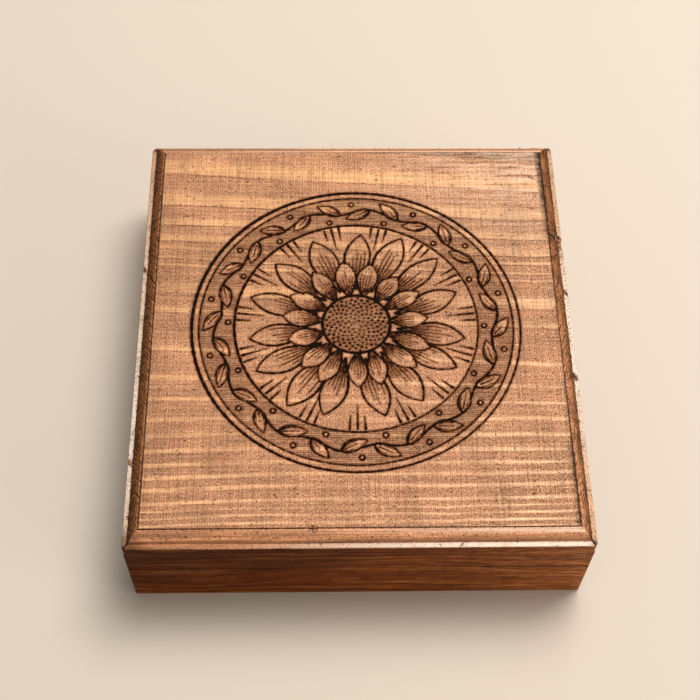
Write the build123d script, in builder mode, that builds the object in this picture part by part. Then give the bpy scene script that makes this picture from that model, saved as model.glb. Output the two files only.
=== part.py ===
"""A shallow wooden jewelry box with a hinged lid.

Four mitred side boards and a grooved-in bottom make the tray. Four mitred rails under one
thick moulded board make the lid. Two brass butt hinges join them at the back, in a V-shaped
groove whose faces meet when the lid is fully open. The tray holds five padded ring rolls and
three lined compartments between housed dividers.

X runs from left to right, Y from front to back, and Z up from the table. The origin is the
middle of the box's footprint. All sizes are in millimetres.
"""

import os
from math import radians, tan

from build123d import *

# The box's shell.
box_width = 165.0  # left to right, over the side boards
box_depth = 178.0  # front to back, over the side boards
wall = 9.5  # thickness of the side boards and of the lid's rails
corner_radius = 0.8  # on the four upright corners
split_height = 23.8  # table to the middle of the line between tray and lid
split_gap = 0.2  # hairline between the closed lid and the tray
eased_edge = 0.2  # chamfer along both sides of that line
lip_height = 41.8  # table to the outer edge of the lip round the lid
board_edge = 6.8  # edge of the lid's board that shows below the lip

# The moulding round the lid's board, from its outer edge inwards.
arris_radius = 0.5
lip_width = 1.9
lip_fall = 0.2  # how far the lip slopes down towards its outer edge
ovolo_radius = 3.4  # quarter round that rises from the lip
shoulder_width = 0.6  # flat between the round and the field
quirk = 0.4  # small step up to the field

# The bottom, let into grooves in the side boards.
bottom_thickness = 4.0
bottom_recess = 3.0  # table to the underside of the bottom
groove_depth = 4.0
groove_clearance = 0.2  # above the bottom and beyond its edges

# The dividers, housed in the side boards and in each other.
divider_thickness = 4.0
divider_height = 13.0
housing_depth = 2.0  # in the side boards
thin_housing_depth = 1.2  # in another divider
housing_clearance = 0.1
long_divider_x = -12.0
short_divider_y = 34.0

# The lining.
felt_thickness = 1.5
felt_clearance = 0.3
lining_thickness = 2.5  # padded panel inside the lid, at its edge
lining_crown = 1.2  # how much thicker its middle is
lining_crown_angle = 60.0  # how far the panel's slopes lean
lining_clearance = 0.5

# The padded ring rolls in the front of the tray.
roll_count = 5
roll_diameter = 10.4
roll_gap = 0.4
roll_flat = 0.8  # depth of the flat underneath
roll_end_round = 3.0

# The two butt hinges.
hinge_length = 20.0
hinge_inset = 42.0  # box's side to the middle of a hinge
pin_inset = 3.3  # back of the box to the hinge pin's axis
open_angle = 100.0  # how far the lid turns
stop_clearance = 1.0  # degrees left between the groove's faces when open
leaf_width = 5.5
leaf_thickness = 1.0
knuckle_count = 3
knuckle_radius = 1.8
knuckle_clearance = 0.2
barrel_clearance = 0.3
pin_radius = 0.8
pin_clearance = 0.05
pin_head_radius = 1.2
pin_head_length = 0.4
mortise_clearance = 0.1

# The hinges' countersunk screws.
screw_radius = 0.8
screw_length = 6.5
screw_head_radius = 1.4
screw_point = 1.4
screw_pitch = 11.0  # between the two screws of a leaf
screw_setback = 3.6  # pin's axis to the screws
screw_slot = 0.4
screw_clearance = 0.05

# The round magnets that hold the lid shut.
magnet_radius = 3.0
magnet_thickness = 2.0
magnet_inset = 24.0  # box's side to the middle of a magnet
magnet_clearance = 0.05

overcut = 1.0  # how far a cut runs past the face that it starts from

# Places worked out from those sizes.
half_width = box_width / 2
half_depth = box_depth / 2
inner_half_width = half_width - wall
inner_half_depth = half_depth - wall
board_bottom = lip_height - board_edge
lip_top = lip_height + lip_fall
shoulder_height = lip_top + ovolo_radius
field_height = shoulder_height + quirk
moulding_width = lip_width + ovolo_radius + shoulder_width
bottom_top = bottom_recess + bottom_thickness
divider_top = bottom_top + divider_height
pin_y = half_depth - pin_inset
hinge_x = half_width - hinge_inset
magnet_x = half_width - magnet_inset
magnet_y = wall / 2 - half_depth
knuckle_length = hinge_length / knuckle_count
screw_y = pin_y - screw_setback

# The tray's plan, from the front inwards.
roll_pitch = roll_diameter + roll_gap
cross_front = roll_gap + roll_count * roll_pitch - inner_half_depth
cross_back = cross_front + divider_thickness
cross_y = cross_front + divider_thickness / 2
long_left = long_divider_x - divider_thickness / 2
long_right = long_divider_x + divider_thickness / 2
short_front = short_divider_y - divider_thickness / 2
short_back = short_divider_y + divider_thickness / 2
housed_half_width = inner_half_width + housing_depth
housing_half = divider_thickness / 2 + housing_clearance

# Which way each half of the box lies from the line between them, and the height of its face there.
tray, lid = -1, 1
split_face = {side: split_height + side * split_gap / 2 for side in (tray, lid)}

os.makedirs("parts", exist_ok=True)
written = []


def keep(builder, name):
    """Labels a finished piece and writes it."""
    builder.part.label = name
    export_step(builder.part, f"parts/{name}.step")
    written.append(name)


def block(x0, x1, y0, y1, z0, z1, mode=Mode.ADD):
    """A plain block between two corners, added to or cut from the piece being made."""
    with BuildSketch(Plane.XY.offset(min(z0, z1))) as plan:
        with Locations(((x0 + x1) / 2, (y0 + y1) / 2)):
            Rectangle(x1 - x0, y1 - y0)
    extrude(plan.sketch, amount=abs(z1 - z0), mode=mode)


def bar_along_x(x0, x1, radius, mode=Mode.ADD):
    """A round bar on the hinge pin's axis, added to or cut from the piece being made."""
    with BuildSketch(Plane.YZ.offset(x0)) as end:
        with Locations((pin_y, split_height)):
            Circle(radius)
    extrude(end.sketch, amount=x1 - x0, mode=mode)


def run_round(profile_points):
    """Cuts one profile from all four sides, as a plane or a router does.

    The profile is given as points for a polyline, measured out from the face and up from the table.
    """
    for plane, half, reach in ((Plane.XZ, half_width, box_depth), (Plane.YZ, half_depth, box_width)):
        with BuildSketch(plane) as section:
            with BuildLine():
                Polyline(*((half + out, z) for out, z in profile_points), close=True)
            make_face()
            mirror(about=Plane.YZ)
        extrude(section.sketch, amount=reach, both=True, mode=Mode.SUBTRACT)


def mitred_board(place, z0, z1):
    """One side of the frame: the box's hollow outline, kept between its two mitre lines."""
    corners = {
        "front": [(-1, -1), (1, -1)],
        "right": [(1, -1), (1, 1)],
        "back": [(1, 1), (-1, 1)],
        "left": [(-1, 1), (-1, -1)],
    }[place]
    reach = wall + overcut
    outer = [(x * half_width, y * half_depth) for x, y in corners]
    inner = [(x * (half_width - reach), y * (half_depth - reach)) for x, y in corners]
    with BuildSketch(Plane.XY.offset(z0)) as plan:
        with BuildLine():
            Polyline(*outer, *reversed(inner), close=True)
        make_face()
        RectangleRounded(box_width, box_depth, corner_radius, mode=Mode.INTERSECT)
        Rectangle(2 * inner_half_width, 2 * inner_half_depth, mode=Mode.SUBTRACT)
    extrude(plan.sketch, amount=z1 - z0)


def ease_split(side):
    """Chamfers the outer edges along the line between tray and lid."""
    z = split_face[side]
    run_round([(-eased_edge, z), (overcut, z + side * (eased_edge + overcut)), (overcut, z)])


def cut_hinge_groove():
    """The V along the back whose faces, one on the tray and one on the lid, stop the open lid."""
    past = pin_inset + overcut
    rise = past * tan(radians((open_angle + stop_clearance) / 2))
    with BuildSketch(Plane.YZ) as section:
        with BuildLine():
            Polyline(
                (pin_y, split_height),
                (pin_y + past, split_height + rise),
                (pin_y + past, split_height - rise),
                close=True,
            )
        make_face()
    extrude(section.sketch, amount=box_width, both=True, mode=Mode.SUBTRACT)


def drill(x, y, side, radius, depth):
    """A blind hole into the tray or the lid from the line between them."""
    with BuildSketch(Plane.XY.offset(split_face[side])) as mouth:
        with Locations((x, y)):
            Circle(radius)
    extrude(mouth.sketch, amount=side * depth, mode=Mode.SUBTRACT)


def screw_places(middle):
    """The X places of the two screws of a hinge leaf."""
    return middle - screw_pitch / 2, middle + screw_pitch / 2


def cut_hinge_seats(side):
    """Mortises for the leaves, room for the barrels and pilot holes, in the tray or the lid."""
    face = split_face[side]
    for middle in (-hinge_x, hinge_x):
        seat = hinge_length / 2 + mortise_clearance
        front = pin_y - leaf_width - mortise_clearance
        block(
            middle - seat,
            middle + seat,
            front,
            half_depth,
            face - side * overcut,
            face + side * leaf_thickness,
            Mode.SUBTRACT,
        )
        end = hinge_length / 2 + pin_head_length + barrel_clearance
        bar_along_x(middle - end, middle + end, knuckle_radius + barrel_clearance, Mode.SUBTRACT)
        for x in screw_places(middle):
            drill(x, screw_y, side, screw_radius + screw_clearance, screw_length + screw_clearance)


def cut_magnet_seats(side):
    """Blind round pockets for the magnets, in the tray or the lid."""
    for x in (-magnet_x, magnet_x):
        drill(x, magnet_y, side, magnet_radius + magnet_clearance, magnet_thickness)


def cut_bottom_groove():
    """The groove round the inside of the tray that holds the bottom."""
    x = inner_half_width + groove_depth
    y = inner_half_depth + groove_depth
    block(-x, x, -y, y, bottom_recess, bottom_top + groove_clearance, Mode.SUBTRACT)


def cut_housing(x0, x1, y0, y1):
    """A stopped housing for a divider's end, from the bottom up to the divider's top."""
    block(x0, x1, y0, y1, bottom_top, divider_top + housing_clearance, Mode.SUBTRACT)


# The tray's four side boards.
with BuildPart() as tray_front:
    mitred_board("front", 0, split_face[tray])
    ease_split(tray)
    cut_bottom_groove()
    cut_magnet_seats(tray)
keep(tray_front, "tray_front_board")

with BuildPart() as tray_back:
    mitred_board("back", 0, split_face[tray])
    cut_hinge_groove()
    cut_hinge_seats(tray)
    cut_bottom_groove()
    cut_housing(
        long_divider_x - housing_half,
        long_divider_x + housing_half,
        inner_half_depth,
        inner_half_depth + housing_depth,
    )
keep(tray_back, "tray_back_board")

with BuildPart() as tray_left:
    mitred_board("left", 0, split_face[tray])
    ease_split(tray)
    cut_hinge_groove()
    cut_bottom_groove()
    cut_housing(-housed_half_width, -inner_half_width, cross_y - housing_half, cross_y + housing_half)
keep(tray_left, "tray_left_board")

with BuildPart() as tray_right:
    mitred_board("right", 0, split_face[tray])
    ease_split(tray)
    cut_hinge_groove()
    cut_bottom_groove()
    for y in (cross_y, short_divider_y):
        cut_housing(inner_half_width, housed_half_width, y - housing_half, y + housing_half)
keep(tray_right, "tray_right_board")

# The bottom lies on the lower face of its groove.
with BuildPart() as bottom:
    reach = groove_depth - groove_clearance
    x = inner_half_width + reach
    y = inner_half_depth + reach
    block(-x, x, -y, y, bottom_recess, bottom_top)
keep(bottom, "tray_bottom")

# The dividers stand on the bottom.
cross_end = housed_half_width - housing_clearance
with BuildPart() as cross_divider:
    block(-cross_end, cross_end, cross_front, cross_back, bottom_top, divider_top)
    cut_housing(
        long_divider_x - housing_half,
        long_divider_x + housing_half,
        cross_back - thin_housing_depth,
        cross_back,
    )
keep(cross_divider, "cross_divider")

with BuildPart() as long_divider:
    front = cross_back - thin_housing_depth + housing_clearance
    back = inner_half_depth + housing_depth - housing_clearance
    block(long_left, long_right, front, back, bottom_top, divider_top)
    cut_housing(
        long_right - thin_housing_depth,
        long_right,
        short_divider_y - housing_half,
        short_divider_y + housing_half,
    )
keep(long_divider, "long_divider")

with BuildPart() as short_divider:
    left = long_right - thin_housing_depth + housing_clearance
    block(left, cross_end, short_front, short_back, bottom_top, divider_top)
keep(short_divider, "short_divider")

# A felt pad lies in each bay, on the bottom.
felt_top = bottom_top + felt_thickness
bays = {
    "ring_bay_felt": (-inner_half_width, inner_half_width, -inner_half_depth, cross_front),
    "left_bay_felt": (-inner_half_width, long_left, cross_back, inner_half_depth),
    "middle_bay_felt": (long_right, inner_half_width, cross_back, short_front),
    "back_bay_felt": (long_right, inner_half_width, short_back, inner_half_depth),
}
for name, (x0, x1, y0, y1) in bays.items():
    with BuildPart() as felt:
        block(
            x0 + felt_clearance,
            x1 - felt_clearance,
            y0 + felt_clearance,
            y1 - felt_clearance,
            bottom_top,
            felt_top,
        )
    keep(felt, name)

# The ring rolls lie side by side on the front felt, each on its own flat.
roll_end = inner_half_width - roll_gap
roll_z = felt_top + roll_diameter / 2 - roll_flat
for n in range(roll_count):
    roll_y = roll_gap + roll_diameter / 2 + n * roll_pitch - inner_half_depth
    with BuildPart() as ring_roll:
        with BuildSketch(Plane.YZ.offset(-roll_end)):
            with Locations((roll_y, roll_z)):
                Circle(roll_diameter / 2)
        extrude(amount=2 * roll_end)
        fillet(ring_roll.edges().filter_by(GeomType.CIRCLE), roll_end_round)
        split(bisect_by=Plane.XY.offset(felt_top), keep=Keep.TOP)
    keep(ring_roll, f"ring_roll_{n + 1}")

# The lid's four rails.
with BuildPart() as lid_front:
    mitred_board("front", split_face[lid], board_bottom)
    ease_split(lid)
    cut_magnet_seats(lid)
keep(lid_front, "lid_front_rail")

with BuildPart() as lid_back:
    mitred_board("back", split_face[lid], board_bottom)
    cut_hinge_groove()
    cut_hinge_seats(lid)
keep(lid_back, "lid_back_rail")

for place in ("left", "right"):
    with BuildPart() as lid_side:
        mitred_board(place, split_face[lid], board_bottom)
        ease_split(lid)
        cut_hinge_groove()
    keep(lid_side, f"lid_{place}_rail")

# The lid's board, with its moulding run round all four edges as a router cuts it.
with BuildPart() as lid_board:
    with BuildSketch(Plane.XY.offset(board_bottom)):
        RectangleRounded(box_width, box_depth, corner_radius)
    extrude(amount=field_height - board_bottom)
    above = field_height + overcut
    for plane, half, reach in ((Plane.XZ, half_width, box_depth), (Plane.YZ, half_depth, box_width)):
        with BuildSketch(plane):
            with BuildLine():
                round_x = half - lip_width - ovolo_radius
                arris = CenterArc((half - arris_radius, lip_height - arris_radius), arris_radius, 0, 90)
                ovolo = CenterArc((round_x, lip_top), ovolo_radius, 0, 90)
                Line(arris @ 1, ovolo @ 0)
                Polyline(
                    ovolo @ 1,
                    (half - moulding_width, shoulder_height),
                    (half - moulding_width, above),
                    (half + overcut, above),
                    (half + overcut, lip_height - arris_radius),
                    arris @ 0,
                )
            make_face()
            mirror(about=Plane.YZ)
        extrude(amount=reach, both=True, mode=Mode.SUBTRACT)
keep(lid_board, "lid_board")

# The padded lining glued inside the lid, thicker in its middle.
with BuildPart() as lid_lining:
    pad_width = 2 * (inner_half_width - lining_clearance)
    pad_depth = 2 * (inner_half_depth - lining_clearance)
    with BuildSketch(Plane.XY.offset(board_bottom)):
        Rectangle(pad_width, pad_depth)
    extrude(amount=-lining_thickness)
    with BuildSketch(Plane.XY.offset(board_bottom - lining_thickness)):
        Rectangle(pad_width, pad_depth)
    extrude(amount=-lining_crown, taper=lining_crown_angle)
keep(lid_lining, "lid_lining")

# The magnets, face to face across the line between tray and lid.
for name, side in (("tray_magnets", tray), ("lid_magnets", lid)):
    with BuildPart() as magnets:
        with BuildSketch(Plane.XY.offset(split_face[side])):
            with Locations((-magnet_x, magnet_y), (magnet_x, magnet_y)):
                Circle(magnet_radius)
        extrude(amount=side * magnet_thickness)
    keep(magnets, name)


def screw(x, side, grown, mode):
    """A countersunk screw's shape, its head flush with the leaf, with some clearance grown round it."""
    head, shank = screw_head_radius + grown, screw_radius + grown
    place = (x, screw_y, split_face[side])
    with BuildSketch(Plane(place, x_dir=(1, 0, 0), z_dir=(0, side, 0))) as half_section:
        with BuildLine():
            Polyline(
                (0, 0),
                (head, 0),
                (shank, shank - head),
                (shank, screw_point - screw_length),
                (0, -screw_length),
                close=True,
            )
        make_face()
    revolve(half_section.sketch, axis=Axis(place, (0, 0, 1)), mode=mode)


def hinge_leaf(middle, side):
    """One leaf of a hinge, with its own knuckles rolled round the pin and room for the others."""
    start = middle - hinge_length / 2
    face = split_face[side]
    own = [n for n in range(knuckle_count) if (n % 2 == 1) == (side == lid)]
    block(start, start + hinge_length, pin_y - leaf_width, pin_y, face, face + side * leaf_thickness)
    for n in range(knuckle_count):
        left = start + n * knuckle_length
        right = left + knuckle_length
        ease = knuckle_clearance / 2
        if n not in own:
            bar_along_x(left - ease, right + ease, knuckle_radius + knuckle_clearance, Mode.SUBTRACT)
    for n in own:
        left = start + n * knuckle_length + (knuckle_clearance / 2 if n > 0 else 0)
        right = start + (n + 1) * knuckle_length - (knuckle_clearance / 2 if n < knuckle_count - 1 else 0)
        bar_along_x(left, right, knuckle_radius)
    bar_along_x(start, start + hinge_length, pin_radius + pin_clearance, Mode.SUBTRACT)
    for x in screw_places(middle):
        screw(x, side, screw_clearance, Mode.SUBTRACT)


for place, middle in (("left", -hinge_x), ("right", hinge_x)):
    for half_name, side in (("tray", tray), ("lid", lid)):
        with BuildPart() as leaf:
            hinge_leaf(middle, side)
        keep(leaf, f"{place}_hinge_{half_name}_leaf")
    with BuildPart() as pin:
        end = hinge_length / 2 + pin_clearance
        bar_along_x(middle - end, middle + end, pin_radius)
        bar_along_x(middle - end - pin_head_length, middle - end, pin_head_radius)
        bar_along_x(middle + end, middle + end + pin_head_length, pin_head_radius)
    keep(pin, f"{place}_hinge_pin")

# The hinges' screws, slotted across.
for half_name, side in (("tray", tray), ("lid", lid)):
    face = split_face[side]
    with BuildPart() as screws:
        for x in (*screw_places(-hinge_x), *screw_places(hinge_x)):
            screw(x, side, 0, Mode.ADD)
            block(
                x - screw_slot / 2,
                x + screw_slot / 2,
                screw_y - screw_head_radius,
                screw_y + screw_head_radius,
                face - side * overcut,
                face + side * screw_slot,
                Mode.SUBTRACT,
            )
    keep(screws, f"{half_name}_hinge_screws")

print(len(written), "pieces")
print("field", round(field_height, 2), "high, moulding", round(moulding_width, 2), "wide")
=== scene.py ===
"""The looks of a shallow wooden jewelry box, built round its packed solids.

The lid's board gets its burnt drawing and worn moulding, the boards their stained grain, and the
tray and the lid their felt, velvet and brass. Sizes named in millimetres are turned to metres
where a mesh is made.
"""

import math
from functools import partial
from types import SimpleNamespace

import bpy
import numpy as np
from bpy.props import FloatProperty, FloatVectorProperty, IntProperty, PointerProperty
from mathutils import Matrix, Vector, noise


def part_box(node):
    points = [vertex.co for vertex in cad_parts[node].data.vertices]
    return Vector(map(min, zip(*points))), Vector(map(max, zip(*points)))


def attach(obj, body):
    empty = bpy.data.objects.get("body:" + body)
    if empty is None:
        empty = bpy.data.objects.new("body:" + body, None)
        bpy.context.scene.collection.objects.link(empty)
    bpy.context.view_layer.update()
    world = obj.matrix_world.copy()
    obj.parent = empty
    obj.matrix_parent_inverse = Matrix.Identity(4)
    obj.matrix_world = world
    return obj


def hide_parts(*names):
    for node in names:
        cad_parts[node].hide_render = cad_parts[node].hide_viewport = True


bl_info = {
    "name": "Wooden Jewelry Box",
    "version": (1, 0, 0),
    "blender": (4, 5, 0),
    "location": "View3D > Sidebar > Jewelry Box",
    "description": "Dresses a hinged wooden jewelry box with a burnt and moulded lid",
    "category": "Object",
}

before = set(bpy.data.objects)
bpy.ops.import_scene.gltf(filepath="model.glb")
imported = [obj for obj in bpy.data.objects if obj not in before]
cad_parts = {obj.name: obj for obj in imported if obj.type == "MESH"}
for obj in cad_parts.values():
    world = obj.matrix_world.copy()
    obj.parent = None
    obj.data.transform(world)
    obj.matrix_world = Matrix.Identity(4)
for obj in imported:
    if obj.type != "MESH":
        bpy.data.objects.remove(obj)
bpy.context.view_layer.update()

MM = 0.001

FAR_MM = 3.0  # distance kept for points that no burnt line is near
CELL_MM = 1.2  # side of a plain square of the lid's field
SPLIT = 3  # finer squares along each side of one that a burnt line crosses
NEAR_MM = 0.5  # a square is split where a burnt line's edge is nearer than this
LINE_WALL_MM = 0.34  # width of a burnt line's sloping side
LINE_START = 0.15  # how much of that slope has passed at the line's edge
SHADED_DEPTH_MM = 0.06  # how deep the shading is burnt
CORNER_RADIUS_MM = 0.8  # round of the board's upright corners
CORNER_CUT = 0.293  # how far a round corner cuts in, as a share of its radius

# The stained boards: a material's name, the turn of its grain, the middle of its growth rings in
# millimetres, its tilt, its tone, and the nodes that are made of it.
ACROSS = 0.0
FRONT_TO_BACK = -math.pi / 2
FRONTS = ("tray_front_board", "tray_back_board", "lid_front_rail", "lid_back_rail")
SIDES = ("tray_left_board", "tray_right_board", "lid_left_rail", "lid_right_rail")
BOARDS = (
    ("stained_pine_front", ACROSS, (0.0, 0.0, -62.0), 0.0, 1.0, FRONTS),
    ("stained_pine_side", FRONT_TO_BACK, (0.0, 0.0, -70.0), 0.006, 1.0, SIDES),
    ("stained_pine_cross", ACROSS, (0.0, 30.0, -60.0), 0.01, 1.4, ("cross_divider", "short_divider")),
    ("stained_pine_long", FRONT_TO_BACK, (0.0, 20.0, -50.0), 0.01, 1.4, ("long_divider",)),
)

# The pale bands of the lid's pine, from the back: where each ends towards the front, and its width.
PALE_BANDS_MM = (
    (72.4, 6.8),
    (56.4, 5.8),
    (46.4, 3.3),
    (38.3, 3.9),
    (34.4, 1.2),
    (29.9, 0.8),
    (26.5, 1.2),
    (13.6, 6.4),
    (5.6, 1.7),
    (-11.6, 2.1),
    (-24.5, 2.6),
    (-33.3, 1.8),
    (-42.0, 2.4),
    (-48.2, 1.9),
    (-54.4, 2.1),
    (-59.8, 1.8),
    (-64.6, 1.8),
    (-69.2, 1.8),
    (-74.4, 1.5),
    (-77.0, 1.0),
    (-79.9, 1.2),
)

# Chips and dents round the lid: X, Y, height, reach and depth.
CHIPS_MM = (
    (-82.4, -88.9, 41.8, 1.0, 0.5),
    (82.4, -88.9, 41.8, 1.1, 0.5),
    (-82.4, 88.9, 41.8, 1.0, 0.5),
    (82.4, 88.9, 41.8, 1.1, 0.5),
    (72.5, 88.8, 42.0, 3.2, 1.0),
    (81.4, 39.8, 42.3, 3.1, 1.0),
    (82.3, 16.0, 41.9, 1.2, 0.5),
    (81.6, -21.7, 42.0, 1.4, 0.4),
    (-57.5, 88.9, 41.9, 1.6, 0.4),
    (-82.4, -55.5, 41.9, 1.2, 0.3),
    (-82.4, 28.0, 41.9, 1.3, 0.3),
    (-16.0, -83.8, 45.5, 1.2, 0.3),
)

# Gouges and cracks: where each starts and ends, X and Y, and half its width.
GOUGES_MM = (
    ((76.0, 42.5), (82.6, 37.2), 0.5),
    ((79.4, 45.6), (82.3, 40.6), 0.5),
    ((79.6, 18.0), (82.4, 14.6), 0.5),
    ((70.0, 71.5), (76.2, 67.0), 0.2),
    ((71.0, 57.4), (74.0, 62.2), 0.2),
    ((72.6, 53.6), (69.4, 54.6), 0.2),
    ((68.8, 88.4), (73.6, 88.4), 0.5),
)


def linear(hex_colour):
    """The linear red, green and blue of an sRGB hex colour."""
    parts = (int(hex_colour[i : i + 2], 16) / 255 for i in (1, 3, 5))
    return tuple(c / 12.92 if c <= 0.04045 else ((c + 0.055) / 1.055) ** 2.4 for c in parts)


def colour_setting(name, description, hex_colour):
    """A colour that a user can change."""
    return FloatVectorProperty(
        name=name,
        description=description,
        subtype="COLOR",
        size=3,
        min=0.0,
        max=1.0,
        default=linear(hex_colour),
    )


def size_setting(name, description, millimetres):
    """A length that a user can change."""
    return FloatProperty(
        name=name, description=description, unit="LENGTH", precision=5, min=0.0, default=millimetres * MM
    )


def angle_setting(name, description, degrees):
    """An angle that a user can change."""
    return FloatProperty(name=name, description=description, subtype="ANGLE", default=math.radians(degrees))


def power_setting(name, description, watts):
    """A light's power that a user can change."""
    return FloatProperty(name=name, description=description, unit="POWER", min=0.0, default=watts)


class PineSettings(bpy.types.PropertyGroup):
    """Stained pine."""

    earlywood: colour_setting("Earlywood", "Soft wood of the lid, which takes the stain", "#C18B67")
    latewood: colour_setting("Latewood", "Hard pale bands of the lid, which the stain leaves", "#DEAB7E")
    # Also the painted glare at the back right of the lid's field.
    fibre_and_glare: colour_setting("Torn fibres", "Pale specks of the sanded lid", "#FFE5CF")
    # Painted near white, as the highlight on the rubbed lip.
    worn: colour_setting("Worn edge and highlight", "Lip of the lid, rubbed bare and painted with the light's highlight", "#FFF3E6")
    end_grain: colour_setting("End grain", "Ends of the lid's board, where the stain soaks in", "#5E3719")
    # Also the painted shade where the lid's round meets its lip.
    grime_and_shade: colour_setting("Grime and painted shade", "Grime, dust, gouges, and painted shade where the lid's round meets its lip", "#221006")
    board: colour_setting("Board", "Soft wood of the side boards and rails", "#5A2B0E")
    # Also laid over one end of each board as painted light.
    board_line_and_light: colour_setting("Board lines", "Paler hard lines of the side boards", "#8E572D")
    ring_gap: size_setting("Ring gap", "Between growth rings of the side boards", 3.6)
    speck: size_setting("Speck", "Size of the dark and pale specks that sanding leaves", 0.58)


class MouldingSettings(bpy.types.PropertyGroup):
    """The moulding round the lid's board, from its outer edge inwards."""

    arris_radius: size_setting("Arris radius", "Outer edge of the lip", 0.5)
    lip_width: size_setting("Lip width", "Flat lip outside the round", 1.9)
    lip_fall: size_setting("Lip fall", "How far the lip slopes down towards its outer edge", 0.2)
    ovolo_radius: size_setting("Ovolo radius", "Quarter round that rises from the lip", 3.4)
    shoulder_width: size_setting("Shoulder width", "Flat between the round and the field", 0.6)
    quirk: size_setting("Quirk", "Small step up to the field", 0.4)
    corner_wear: size_setting("Corner wear", "How far the upright corners are rubbed round", 0.25)


class BurntSettings(bpy.types.PropertyGroup):
    """The burnt drawing on the lid."""

    outer_radius: size_setting("Outer radius", "Outermost ring", 62.0)
    band_radius: size_setting("Band radius", "Outer edge of the shaded band", 59.3)
    inner_radius: size_setting("Inner radius", "Inner edge of the shaded band", 46.0)
    seed_radius: size_setting("Seed head radius", "Middle of the flower", 12.8)
    line_width: size_setting("Line width", "Widest burnt line", 1.2)
    depth: size_setting("Depth", "How deep the lines are burnt", 0.45)
    shade_gap: size_setting("Shading gap", "Between the fine lines of the shading", 0.75)
    petals: IntProperty(name="Petals", description="Petals in each of two rows", min=3, default=15)
    leaves: IntProperty(name="Leaves", description="Leaves in the shaded band", min=4, default=28)
    # Also the painted shadow round the lid's chips.
    char: colour_setting("Char", "Bottom of a burnt line", "#120703")
    scorch: colour_setting("Scorch", "Brown edge of a burnt line", "#673716")
    shading: colour_setting("Shading", "Fine lines of the shading", "#4E2A12")


class LiningSettings(bpy.types.PropertyGroup):
    """Felt and velvet."""

    felt: colour_setting("Felt", "Felt in the bays", "#3E2C21")
    velvet: colour_setting("Velvet", "Ring rolls and lid lining", "#3A2A23")
    swell: size_setting("Swell", "Most that a cover swells over its filling", 0.5)
    pile: size_setting("Pile", "Spacing of the tufts in the velvet", 0.35)


class MetalSettings(bpy.types.PropertyGroup):
    """Brass and nickel."""

    brass: colour_setting("Brass", "Hinge leaves, pins and screws", "#D9B36A")
    nickel: colour_setting("Nickel", "Plating of the magnets", "#D8D4CB")


class StageSettings(bpy.types.PropertyGroup):
    """Floor, lights and camera."""

    floor: colour_setting("Floor", "Plain pale floor", "#D3CEC6")
    key_power: power_setting("Key light", "Soft light above and behind", 27.0)
    fill_power: power_setting("Fill light", "Weak light from the front", 4.0)
    sky: FloatProperty(name="Sky", description="Strength of the even light all round", min=0.0, default=0.28)
    camera_place: FloatVectorProperty(
        name="Camera",
        description="Where the camera stands",
        subtype="TRANSLATION",
        size=3,
        default=(-12.517 * MM, -266.721 * MM, 467.503 * MM),
    )
    camera_pitch: angle_setting("Pitch", "Down from level", 58.804)
    camera_yaw: angle_setting("Yaw", "To the left of straight ahead", -2.244)
    camera_roll: angle_setting("Roll", "Turn about the line of sight", 1.637)
    lens_mm: FloatProperty(name="Lens", description="Focal length in millimetres", min=1.0, default=67.998)


# The main setting of each kind of node that has one.
MAIN_SETTINGS = {
    "Math": "operation",
    "VectorMath": "operation",
    "MapRange": "interpolation_type",
    "Mix": "data_type",
}


def add(tree, kind, *values, sockets=None, **settings):
    """Adds a shader node with its settings, fills its inputs in order or by name, gives its output.

    A word after a colon in the kind goes to its main setting, as in "Math:MULTIPLY".
    """
    kind, _, choice = kind.partition(":")
    node = tree.nodes.new("ShaderNode" + kind)
    if choice:
        settings[MAIN_SETTINGS[kind]] = choice
    for name, value in settings.items():
        setattr(node, name, value)
    shown = [socket for socket in node.inputs if socket.enabled]
    by_name = {socket.name: socket for socket in shown}
    pairs = list(zip(shown, values))
    pairs += [(by_name[name], value) for name, value in (sockets or {}).items()]
    for socket, value in pairs:
        if isinstance(value, bpy.types.NodeSocket):
            tree.links.new(value, socket)
        elif socket.type == "RGBA" and len(value) == 3:
            socket.default_value = (*value, 1.0)
        else:
            socket.default_value = value
    return next((socket for socket in node.outputs if socket.enabled), None)


def new_material(name):
    """An empty material, and the function that adds nodes to it."""
    material = bpy.data.materials.new(name)
    material.use_nodes = True
    material.node_tree.nodes.clear()
    return material, partial(add, material.node_tree)


def use_material(piece, material):
    """Gives a piece one material all over."""
    piece.data.materials.clear()
    piece.data.materials.append(material)


def product(put, first, *others):
    """Shares and tones multiplied together."""
    for other in others:
        first = put("Math:MULTIPLY", first, other)
    return first


def gap_between(put, value, other):
    """How far apart two values are."""
    return put("Math:ABSOLUTE", put("Math:SUBTRACT", value, other))


def drawn_out(put, place, stretch, *detail_and_roughness):
    """Noise that is fine along the axes where the stretch is large, and long where it is small."""
    return put("TexNoise", put("VectorMath:MULTIPLY", place, stretch), 1.0, *detail_and_roughness)


def layered(put, colour, *layers):
    """A colour with others laid over it, one after another, each by its share."""
    for share, over in layers:
        colour = put("Mix:RGBA", share, colour, over)
    return colour


def finish(put, colour, roughness, height_mm, bump, looks):
    """A surface whose fibres or marks stand up a little, with what else its material shows."""
    normal = put("Bump", sockets={"Strength": bump, "Distance": MM, "Height": height_mm})
    looks = {"Base Color": colour, "Roughness": roughness, "Normal": normal, **looks}
    put("OutputMaterial", put("BsdfPrincipled", sockets=looks))


def grain_place(put, turn=0.0, pith_mm=(0.0, 0.0, 0.0), tilt=0.0):
    """Places in millimetres, turned so that the grain runs along X with the pith at the origin."""
    place = put("TexCoord").node.outputs["Object"]
    turned = put("Mapping", place, (0.0, 0.0, 0.0), (0.0, tilt, turn), (1 / MM, 1 / MM, 1 / MM))
    return put("VectorMath:SUBTRACT", turned, pith_mm)


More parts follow.
